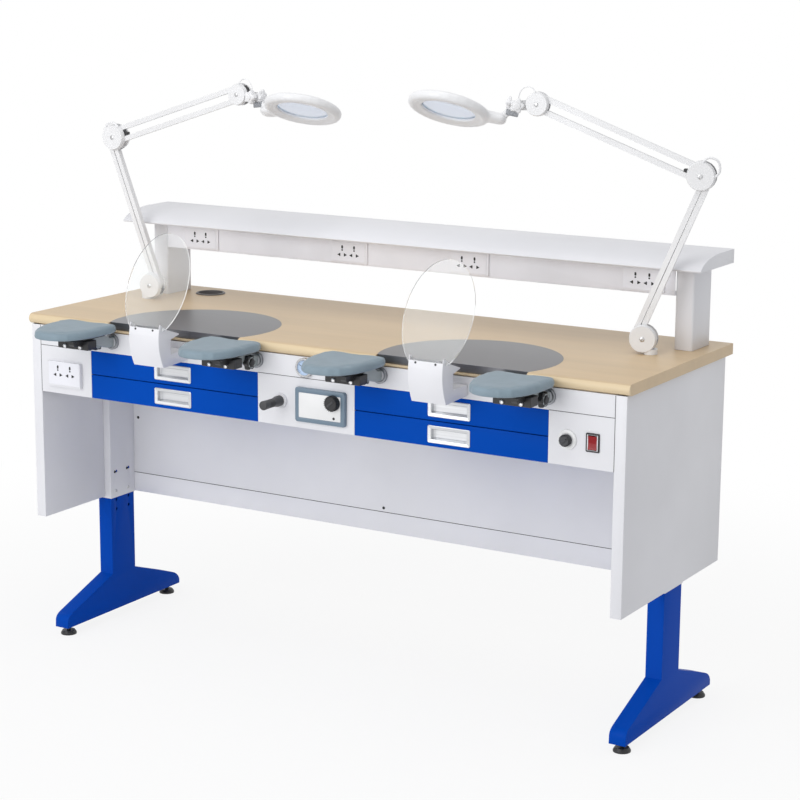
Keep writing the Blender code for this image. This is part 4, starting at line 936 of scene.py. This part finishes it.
class BENCH_OT_outlets(bpy.types.Operator):
    """Put the outlet holes in the socket plates, as black shapes of painted shade"""
    bl_idname = "bench.outlets"
    bl_label = "Punch the outlets"
    RAIL_PLATES = (-0.580, -0.140, 0.192, 0.638)
    RAIL_PLATE_HALF = (0.048, 0.0235)
    FRONT_PLATE = (-0.690, 0.6985)
    FRONT_PLATE_HALF = (0.0470, 0.0285)
    FRONT_PITCH = 0.037
    HOLES_ABOVE_MIDDLE = 0.004          # on the front plate
    CORNER = 0.003
    PLATE_EDGE = ((0.0, 0.0004), (0.0006, 0.0008), (0.0014, 0.0008))
    HOLE_SHADE_SECTION = ((0, 0), (0, 0.0011), (0.0003, 0.0012))

    def execute(self, context):
        low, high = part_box("socket_rail")
        rail = [Vector((across, low.y, (low.z + high.z) / 2)) for across in self.RAIL_PLATES]
        front = Vector((self.FRONT_PLATE[0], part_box("socket_box")[0].y, self.FRONT_PLATE[1]))
        pitch = context.scene.bench_sizes.outlet_pitch
        pairs = [(plate, pitch) for plate in rail] + [(front, self.FRONT_PITCH)]
        holes = [front_facing(plate + Vector((way * apart / 2, 0, 0)))
                 for plate, apart in pairs for way in (-1, 1)]
        faces = [moulding(*self.RAIL_PLATE_HALF, self.CORNER, ((0.0, 0.0), *self.PLATE_EDGE),
                          front_facing(plate)) for plate in rail]
        faces.append(moulding(*self.FRONT_PLATE_HALF, self.CORNER, ((0.0, -0.0004), *self.PLATE_EDGE),
                              front_facing(front - UP * self.HOLES_ABOVE_MIDDLE)))
        # painted shade: black shapes stand for the dark insides of the outlet holes
        repeat("outlet_holes", self.hole_shade_group(), "shade_and_dial_black", "bench", holes)
        piece("outlet_faces", merged(faces), "rail_white_with_painted_light", "bench")
        return {"FINISHED"}

    def hole_shade_group(self):
        """The holes of one outlet, as black shapes of painted shade: a long one over a square one, above two
        wedges that point outwards.
        """
        forms = [moulding(0.0024, 0.0042, 0.0023, self.HOLE_SHADE_SECTION, Matrix.Translation((0, 0.0110, 0))),
                 moulding(0.0019, 0.0019, 0.0006, self.HOLE_SHADE_SECTION, Matrix.Translation((0, 0.0036, 0)))]
        for way in (-1, 1):
            bar = Matrix.Translation((way * 0.0064, -0.0080, 0))
            forms.append(moulding(0.0013, 0.0038, 0.0004, self.HOLE_SHADE_SECTION, bar))
            forms.append(prism([(way * 0.0072, -0.0112), (way * 0.0138, -0.0080), (way * 0.0072, -0.0048)],
                               0, 0.0012))
        return merged(forms)


class BENCH_OT_controls(bpy.types.Operator):
    """Dress the control unit, gauge, switches and knobs"""
    bl_idname = "bench.controls"
    bl_label = "Dress the controls"
    UNIT = (0.043, 0.6977)
    UNIT_LAMP = (0.0810, 0.6756)
    UNIT_FRAME = ((-0.0006, 0.0002), (-0.0006, 0.0070), (0.0006, 0.0088), (0.0020, 0.0094), (0.0088, 0.0094),
                  (0.0100, 0.0086))
    UNIT_PLATE = ((0, 0.0080), (0, 0.0090), (0.0004, 0.0092))
    LAMP_DOME = ((0, -0.0006), (0.0030, -0.0006), (0.0030, 0.0008), (0.0022, 0.0014), (0, 0.0016))
    GAUGE = (0, 0.783)
    BEZEL = ((0.0172, 0.0070), (0.0172, 0.0088), (0.0185, 0.0098), (0.0208, 0.0098), (0.0224, 0.0084),
             (0.0226, 0.0002), (0.0200, 0.0002), (0.0200, 0.0070))
    DIAL = ((0, 0.0060), (0.0176, 0.0060), (0.0176, 0.0068), (0, 0.0068))
    DIAL_STEPS = 20
    DIAL_SWEEP = 270
    TICK_REACH = 0.0160
    NEEDLE_TURN = 150
    ROCKER_FRAME = ((0.0, 0.0002), (0.0, 0.0022), (0.0012, 0.0034), (0.0028, 0.0034), (0.0036, 0.0028),
                    (0.0038, 0.0006), (0.0047, 0.0004), (0.0047, 0.0002))
    SELECTOR_RING = ((0.0135, 0.0002), (0.0135, 0.0040), (0.0150, 0.0052), (0.0182, 0.0052),
                     (0.0214, 0.0036), (0.0222, 0.0002))
    INDICATOR = (0.7105, 0.7255)
    INDICATOR_DOME = ((0, -0.0004), (0.0022, -0.0004), (0.0022, 0.0006), (0, 0.0012))
    GUN_SLEEVE = ((0.0090, -0.0200), (0.0104, -0.0190), (0.0106, -0.0020), (0.0092, -0.0004),
                  (0.0060, 0.0002), (0, 0.0002), (0, -0.0010), (0.0080, -0.0010), (0.0085, -0.0200))
    GUN_RIB = ((0.0086, -0.0012), (0.0100, -0.0006), (0.0100, 0.0006), (0.0086, 0.0012))
    GUN_RIBS = (0.0245, 0.0290, 0.0335, 0.0380)     # back from the gun's tip
    KNOBS = (("motor_knob", 0.0130, 0.0012), ("selector_knob", 0.0102, 0.0030))   # half a grip, its height
    KNOB_TURN = -50
    KNOB_RIBS = 24

    def execute(self, context):
        self.control_unit()
        self.gauge()
        self.switches()
        self.gun_grip()
        for node, half, tall in self.KNOBS:
            self.knob(node, half, tall)
        return {"FINISHED"}

    def on_face(self, spot, out=0.0):
        """A placing on the bench's fronts, or a little out from them."""
        return front_facing((spot[0], FACE - out, spot[1]))

    def over(self, node, front):
        """A placing in front of a moving piece."""
        low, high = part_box(node)
        return front_facing(((low.x + high.x) / 2, front, (low.z + high.z) / 2))

    def control_unit(self):
        place = self.on_face(self.UNIT)
        surround = moulding(0.066, 0.039, 0.005, self.UNIT_FRAME, place)
        piece("control_frame", surround, "frame_grey", "bench")
        plate = moulding(0.0556, 0.0286, 0.002, self.UNIT_PLATE, place)
        piece("control_plate", plate, "socket_white", "bench")
        lamp = lathe(self.LAMP_DOME, 16, self.on_face(self.UNIT_LAMP, self.UNIT_PLATE[-1][1]))
        piece("control_lamp", lamp, "black_plastic", "bench")

    def gauge(self):
        middle = self.on_face(self.GAUGE)
        piece("gauge_bezel", lathe(self.BEZEL, 40, middle), "screw_steel", "bench")
        piece("gauge_dial", lathe(self.DIAL, 32, middle), "dial_face", "bench")
        marks = []
        for k in range(self.DIAL_STEPS + 1):
            angle = radians(90 + self.DIAL_SWEEP / 2 - self.DIAL_SWEEP * k / self.DIAL_STEPS)
            long = 0.0018 if k % 5 else 0.0032
            spot = Matrix.Rotation(angle, 4, "Z") @ Matrix.Translation((self.TICK_REACH - long / 2, 0, 0))
            marks.append(moulding(long / 2, 0.0003, 0.0002, [(0, 0.0066), (0, 0.0070)], spot))
        needle = Matrix.Rotation(radians(self.NEEDLE_TURN), 4, "Z") @ Matrix.Translation((0.0050, 0, 0))
        marks.append(moulding(0.0085, 0.0005, 0.0004, [(0, 0.0066), (0, 0.0074)], needle))
        marks.append(lathe([(0, 0.0066), (0.0022, 0.0066), (0.0022, 0.0078), (0, 0.0080)], 14))
        marks = merged(marks)
        marks.transform(middle)
        piece("gauge_marks", marks, "shade_and_dial_black", "bench")

    def switches(self):
        place = self.over("power_rocker", FACE)
        surround = moulding(0.0158, 0.0204, 0.0025, self.ROCKER_FRAME, place, ring=True)
        piece("rocker_frame", surround, "black_plastic", "bench")
        ring = lathe(self.SELECTOR_RING, 36, self.over("selector_knob", FACE))
        piece("selector_ring", ring, "socket_white", "bench")
        dot = lathe(self.INDICATOR_DOME, 14, self.on_face(self.INDICATOR))
        piece("indicator_dot", dot, "socket_white", "bench")

    def gun_grip(self):
        """The ribbed sleeve on the end of the air gun."""
        low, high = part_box("air_gun")
        tip = Vector(((low.x + high.x) / 2, low.y, (low.z + high.z) / 2))
        forms = [lathe(self.GUN_SLEEVE, 24, facing(tip, OUT))]
        forms += [lathe(self.GUN_RIB, 24, facing(tip - OUT * back, OUT)) for back in self.GUN_RIBS]
        piece("air_gun_grip", merged(forms), "dark_plastic", "air_gun")

    def knob(self, node, half, tall):
        """The raised grip across a knob, and the ribs round it."""
        low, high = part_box(node)
        middle = self.over(node, low.y)
        grip = moulding(0.0022, half * 0.78, 0.002, [(0, -0.0004), (0, tall), (0.0006, tall + 0.0006)],
                        middle @ Matrix.Rotation(radians(self.KNOB_TURN), 4, "Z"))
        piece(node + "_grip", grip, "dark_plastic", node)
        out = Matrix.Translation(((high.x - low.x) / 2 * 0.95, 0, -0.006))
        ribs = [middle @ Matrix.Rotation(2 * pi * k / self.KNOB_RIBS, 4, "Z") @ out
                for k in range(self.KNOB_RIBS)]
        rib = moulding(0.0009, 0.0008, 0.0005, [(0, -0.0045), (0, 0.0045), (0.0003, 0.0050)],
                       Matrix.Identity(4))
        repeat(node + "_ribs", rib, "black_plastic", node, ribs)


class BENCH_OT_armrest_fittings(bpy.types.Operator):
    """Add the bolts, star knobs and collars of the armrests"""
    bl_idname = "bench.armrest_fittings"
    bl_label = "Fit the armrest bolts"
    COLLAR = ((0.0136, 0.0002), (0.0136, 0.0012), (0.0150, 0.0020), (0.0176, 0.0018), (0.0189, 0.0006),
              (0.0189, -0.0056), (0.0186, -0.0056), (0.0186, 0.0001))
    COLLAR_OUT = 0.0060
    KNOB_SIZE = (0.0185, 0.0140)
    KNOB_SHIFT = (0.0060, -0.047, 0.002)
    CLAMP_HALF = (0.045, 0.0110)
    CLAMP_SHIFT = -0.024
    CLAMP_OUT = 0.119
    CLAMP_DROP = 0.0115
    CLAMP_SECTION = ((0.0012, -0.0320), (0, -0.0308), (0, -0.0012), (0.0012, 0))
    PLATE_THICK = 0.0055
    BOLT = ((0, 0.0030), (0.0022, 0.0030), (0.0028, 0.0052), (0.0044, 0.0040), (0.0048, 0.0012),
            (0.0048, -0.001), (0, -0.001))
    BOLT_SHIFTS = (-0.046, -0.001)
    BOLT_DROP = 0.0160

    def execute(self, context):
        for number in range(1, 5):
            pivot = Vector(JOINTS["armrest_%d_swing" % number]["pos_m"])
            self.collar_and_knob(number, pivot)
            self.clamp(number, pivot)
        return {"FINISHED"}

    def collar_and_knob(self, number, pivot):
        middle = Vector((pivot.x, FACE, pivot.z))
        collar = lathe(self.COLLAR, 32, facing(middle + OUT * self.COLLAR_OUT, OUT))
        piece("armrest_collar_%d" % number, collar, "dark_steel", "bench")
        hand = 1 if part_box("armrest_arm_%d" % number)[1].x - pivot.x > 0.015 else -1
        across, back, up = self.KNOB_SHIFT
        knob = lobed(*self.KNOB_SIZE, facing(middle + Vector((hand * across, back, up)), (hand, 0, 0)))
        piece("armrest_knob_%d" % number, knob, "black_plastic", "armrest_%d" % number)

    def clamp(self, number, pivot):
        """The block under a pad's bracket, with its two bolts."""
        body = "armrest_%d" % number
        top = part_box("armrest_pad_%d" % number)[0].z - self.PLATE_THICK
        middle = Vector((pivot.x + self.CLAMP_SHIFT, FACE - self.CLAMP_OUT, top - self.CLAMP_DROP))
        block = moulding(*self.CLAMP_HALF, 0.0025, self.CLAMP_SECTION, front_facing(middle))
        piece("armrest_clamp_%d" % number, block, "black_plastic", body)
        ends = [facing((pivot.x + across, FACE - self.CLAMP_OUT, top - self.BOLT_DROP), OUT)
                for across in self.BOLT_SHIFTS]
        repeat("armrest_bolts_%d" % number, lathe(self.BOLT, 16), "bolt_steel", body, ends)


class BENCH_OT_lamp_details(bpy.types.Operator):
    """Add star knobs, toothed clamps, lens edges and small leads to the lamps"""
    bl_idname = "bench.lamp_details"
    bl_label = "Detail the lamps"
    STEM = ((0, 0), (0.0042, 0), (0.0042, 0.010), (0, 0.010))
    LEAD = ((0.004, 0.0262), (0.008, 0.036), (0.026, 0.039), (0.041, 0.026), (0.043, 0.006))
    LEAD_SIDE = 0.0105
    LEAD_RADIUS = 0.0013
    LENS_RING = ((0.0626, 0.0041), (0.0626, 0.0047), (0.0633, 0.0050), (0.0640, 0.0047), (0.0640, 0.0041))
    SLEEVE_SECTION = ((0.0006, -0.0065), (0, -0.0059), (0, 0.0059), (0.0006, 0.0065))
    TOOTH_SECTION = ((0.0003, -0.0069), (0, -0.0064), (0, 0.0064), (0.0003, 0.0069))
    TEETH = 9
    TOOTH_PITCH = 0.0030
    SHADE_BLOCK_SECTION = ((0.001, -0.0060), (0, -0.0050), (0, 0.0050), (0.001, 0.0060))

    def execute(self, context):
        for name, inward in SIDES:
            self.head(name, inward, "lamp_%s_head" % name)
            self.elbow(name, inward, "lamp_%s_elbow" % name)
        return {"FINISHED"}

    def head(self, name, inward, body):
        pivot, along, across, rise, centre = head_frame(name, inward)
        front = lobed(0.0175, 0.0145, facing(pivot - across * 0.0141, -across), 5, 0.28)
        piece("lamp_%s_tilt_knob" % name, front, "lamp_white", body + "_knuckle")
        stem = lathe(self.STEM, 12, facing(pivot + along * 0.0075 + rise * 0.002, along))
        side = lobed(0.0150, 0.0090, facing(pivot + along * 0.0165 + rise * 0.002, along), 5, 0.28)
        piece("lamp_%s_turn_knob" % name, merged([stem, side]), "lamp_white", body)
        self.clamp(name, body, pivot, along, rise)
        self.lens_edge(name, body, across, rise, centre)
        local_x, local_y, hub, elbow, neck = lamp_frame(name, inward)
        lead = [neck + local_x * far + UP * up - local_y * self.LEAD_SIDE for far, up in self.LEAD]
        piece("lamp_%s_head_lead" % name, tube(lead, self.LEAD_RADIUS), "lamp_white", body + "_knuckle")

    def clamp(self, name, body, pivot, along, rise):
        """The toothed metal sleeve round the head's lug."""
        turn = Matrix((along, rise.cross(along), rise)).transposed().to_4x4()
        place = Matrix.Translation(pivot + along * 0.0085 - rise * 0.0190) @ turn
        forms = [moulding(0.0140, 0.0074, 0.001, self.SLEEVE_SECTION, place)]
        for step in range(self.TEETH):
            spot = place @ Matrix.Translation(((step - (self.TEETH - 1) / 2) * self.TOOTH_PITCH, 0, 0))
            forms.append(moulding(0.0009, 0.0079, 0.0004, self.TOOTH_SECTION, spot))
        piece("lamp_%s_clamp" % name, merged(forms), "dark_steel", body)

    def lens_edge(self, name, body, across, rise, centre):
        """The bright ground edge that shows round a lens."""
        normal = rise * cos(HEAD_ROLL) + across * sin(HEAD_ROLL)
        forms = [lathe(self.LENS_RING, 56, facing(centre, way)) for way in (normal, -normal)]
        piece("lamp_%s_lens_edge" % name, merged(forms), "lens_edge", body)

    def elbow(self, name, inward, body):
        """A black block between the arms at an elbow, partly the black spring hooks there and partly painted
        shade of the shadowed space between the arms.
        """
        local_x, local_y, hub, elbow, neck = lamp_frame(name, inward)
        turn = Matrix((local_x, UP.cross(local_x), UP)).transposed().to_4x4()
        place = Matrix.Translation(elbow + local_x * 0.0335 + UP * 0.0085) @ turn
        # painted shade: this black block stands partly for the shade between the arms at the elbow
        stop = moulding(0.0055, 0.0066, 0.002, self.SHADE_BLOCK_SECTION, place)
        piece("lamp_%s_elbow_stop" % name, stop, "black_plastic", body)


class BENCH_OT_stage(bpy.types.Operator):
    """Set the floor, soft light and camera"""
    bl_idname = "bench.stage"
    bl_label = "Set the stage"
    PAPER = (0.86, 0.86, 0.86, 1)
    SKY = (0.97, 0.98, 1.0, 1)
    FLOOR_FADE = {"From Min": 0.9, "From Max": 2.4, "To Min": 0.86, "To Max": 1.0}
    LIGHTS = (("key_light", (-1.0, -4.2, 2.4), 3.0, 1.0), ("front_light", (-0.6, -4.6, 1.0), 2.4, 0.35),
              ("top_light", (0.4, -0.6, 3.6), 2.6, 0.35))      # place, size and share of the key's power
    LIT_SPOT = Vector((0, 0.1, 0.7))

    def execute(self, context):
        settings = context.scene.bench_stage
        self.floor()
        self.world(settings.sky)
        self.lamps(settings.key)
        self.camera(settings)
        context.scene.view_settings.view_transform = "Standard"
        return {"FINISHED"}

    def seen(self, tree):
        """One where the camera, a reflection or a view through glass sees a surface, and 0 for its light."""
        path = tree.nodes.new("ShaderNodeLightPath")
        total = path.outputs["Is Camera Ray"]
        for name in ("Is Glossy Ray", "Is Transmission Ray"):
            both = tree.nodes.new("ShaderNodeMath")
            both.operation = "MAXIMUM"
            wire(tree, (total, both.inputs[0]), (path.outputs[name], both.inputs[1]))
            total = both.outputs[0]
        return total

    def floor(self):
        form = bmesh.new()
        bmesh.ops.create_grid(form, x_segments=1, y_segments=1, size=14.0)
        mesh = bpy.data.meshes.new("floor")
        form.to_mesh(mesh)
        form.free()
        paper = bpy.data.materials.new("floor_paper")
        paper.use_nodes = True
        tree = paper.node_tree
        tree.nodes.clear()
        matt, glow, blend, share, end = add(
            tree, "ShaderNodeBsdfDiffuse", "ShaderNodeEmission", "ShaderNodeMixShader", "ShaderNodeMath",
            "ShaderNodeOutputMaterial")
        matt.inputs["Color"].default_value = self.PAPER
        share.operation = "MULTIPLY"
        wire(tree, (self.seen(tree), share.inputs[0]), (self.far_share(tree), share.inputs[1]),
             (share.outputs[0], blend.inputs[0]), (matt.outputs[0], blend.inputs[1]),
             (glow.outputs[0], blend.inputs[2]), (blend.outputs[0], end.inputs[0]))
        mesh.materials.append(paper)
        floor = bpy.data.objects.new("floor", mesh)
        floor.location.z = -0.0005
        bpy.context.scene.collection.objects.link(floor)

    def far_share(self, tree):
        """How much of the floor is its own white: nearly all by the bench, and all of it far off."""
        place, far, fade = add(tree, "ShaderNodeTexCoord", "ShaderNodeVectorMath", "ShaderNodeMapRange")
        far.operation = "LENGTH"
        fade.interpolation_type = "SMOOTHSTEP"
        for socket, value in self.FLOOR_FADE.items():
            fade.inputs[socket].default_value = value
        wire(tree, (place.outputs["Object"], far.inputs[0]), (far.outputs["Value"], fade.inputs["Value"]))
        return fade.outputs[0]

    def world(self, strength):
        world = bpy.data.worlds.new("studio")
        bpy.context.scene.world = world
        world.use_nodes = True
        tree = world.node_tree
        tree.nodes.clear()
        sky, white, blend, end = add(tree, "ShaderNodeBackground", "ShaderNodeBackground",
                                     "ShaderNodeMixShader", "ShaderNodeOutputWorld")
        sky.inputs["Strength"].default_value = strength
        sky.inputs["Color"].default_value = self.SKY
        white.inputs["Color"].default_value = (1, 1, 1, 1)
        wire(tree, (self.seen(tree), blend.inputs[0]), (sky.outputs[0], blend.inputs[1]),
             (white.outputs[0], blend.inputs[2]), (blend.outputs[0], end.inputs[0]))

    def lamps(self, power):
        for name, place, size, share in self.LIGHTS:
            lamp = bpy.data.lights.new(name, "AREA")
            lamp.shape = "SQUARE"
            lamp.size = size
            lamp.energy = power * share
            shown = bpy.data.objects.new(name, lamp)
            shown.location = place
            shown.rotation_euler = (self.LIT_SPOT - Vector(place)).to_track_quat("-Z", "Y").to_euler()
            bpy.context.scene.collection.objects.link(shown)

    def camera(self, settings):
        camera = bpy.data.cameras.new("camera")
        camera.lens = settings.lens
        camera.sensor_width = 36.0
        camera.clip_end = 60.0
        shown = bpy.data.objects.new("camera", camera)
        shown.location = settings.eye
        shown.rotation_euler = [radians(angle) for angle in settings.aim]
        bpy.context.scene.collection.objects.link(shown)
        bpy.context.scene.camera = shown


OPERATORS = (BENCH_OT_solids, BENCH_OT_pads, BENCH_OT_drawer_cups, BENCH_OT_fasteners, BENCH_OT_outlets,
             BENCH_OT_controls, BENCH_OT_armrest_fittings, BENCH_OT_lamp_details, BENCH_OT_stage)


class BENCH_PT_panel(bpy.types.Panel):
    """Lists the steps that dress the bench"""
    bl_idname = "BENCH_PT_panel"
    bl_label = "Lab workbench"
    bl_space_type = "VIEW_3D"
    bl_region_type = "UI"
    bl_category = "Workbench"

    def draw(self, context):
        for step in OPERATORS:
            self.layout.operator(step.bl_idname)


GROUPS = (("bench_sizes", BenchSizes), ("bench_colours", BenchColours), ("bench_stage", StageSettings))


def register():
    for name, group in GROUPS:
        bpy.utils.register_class(group)
        setattr(bpy.types.Scene, name, bpy.props.PointerProperty(type=group))
    for step in (*OPERATORS, BENCH_PT_panel):
        bpy.utils.register_class(step)


def unregister():
    for step in reversed((*OPERATORS, BENCH_PT_panel)):
        bpy.utils.unregister_class(step)
    for name, group in reversed(GROUPS):
        delattr(bpy.types.Scene, name)
        bpy.utils.unregister_class(group)


def main():
    register()
    bpy.ops.bench.solids()
    bpy.ops.bench.pads()
    bpy.ops.bench.drawer_cups()
    bpy.ops.bench.fasteners()
    bpy.ops.bench.outlets()
    bpy.ops.bench.controls()
    bpy.ops.bench.armrest_fittings()
    bpy.ops.bench.lamp_details()
    bpy.ops.bench.stage()


if __name__ == "__main__":
    main()
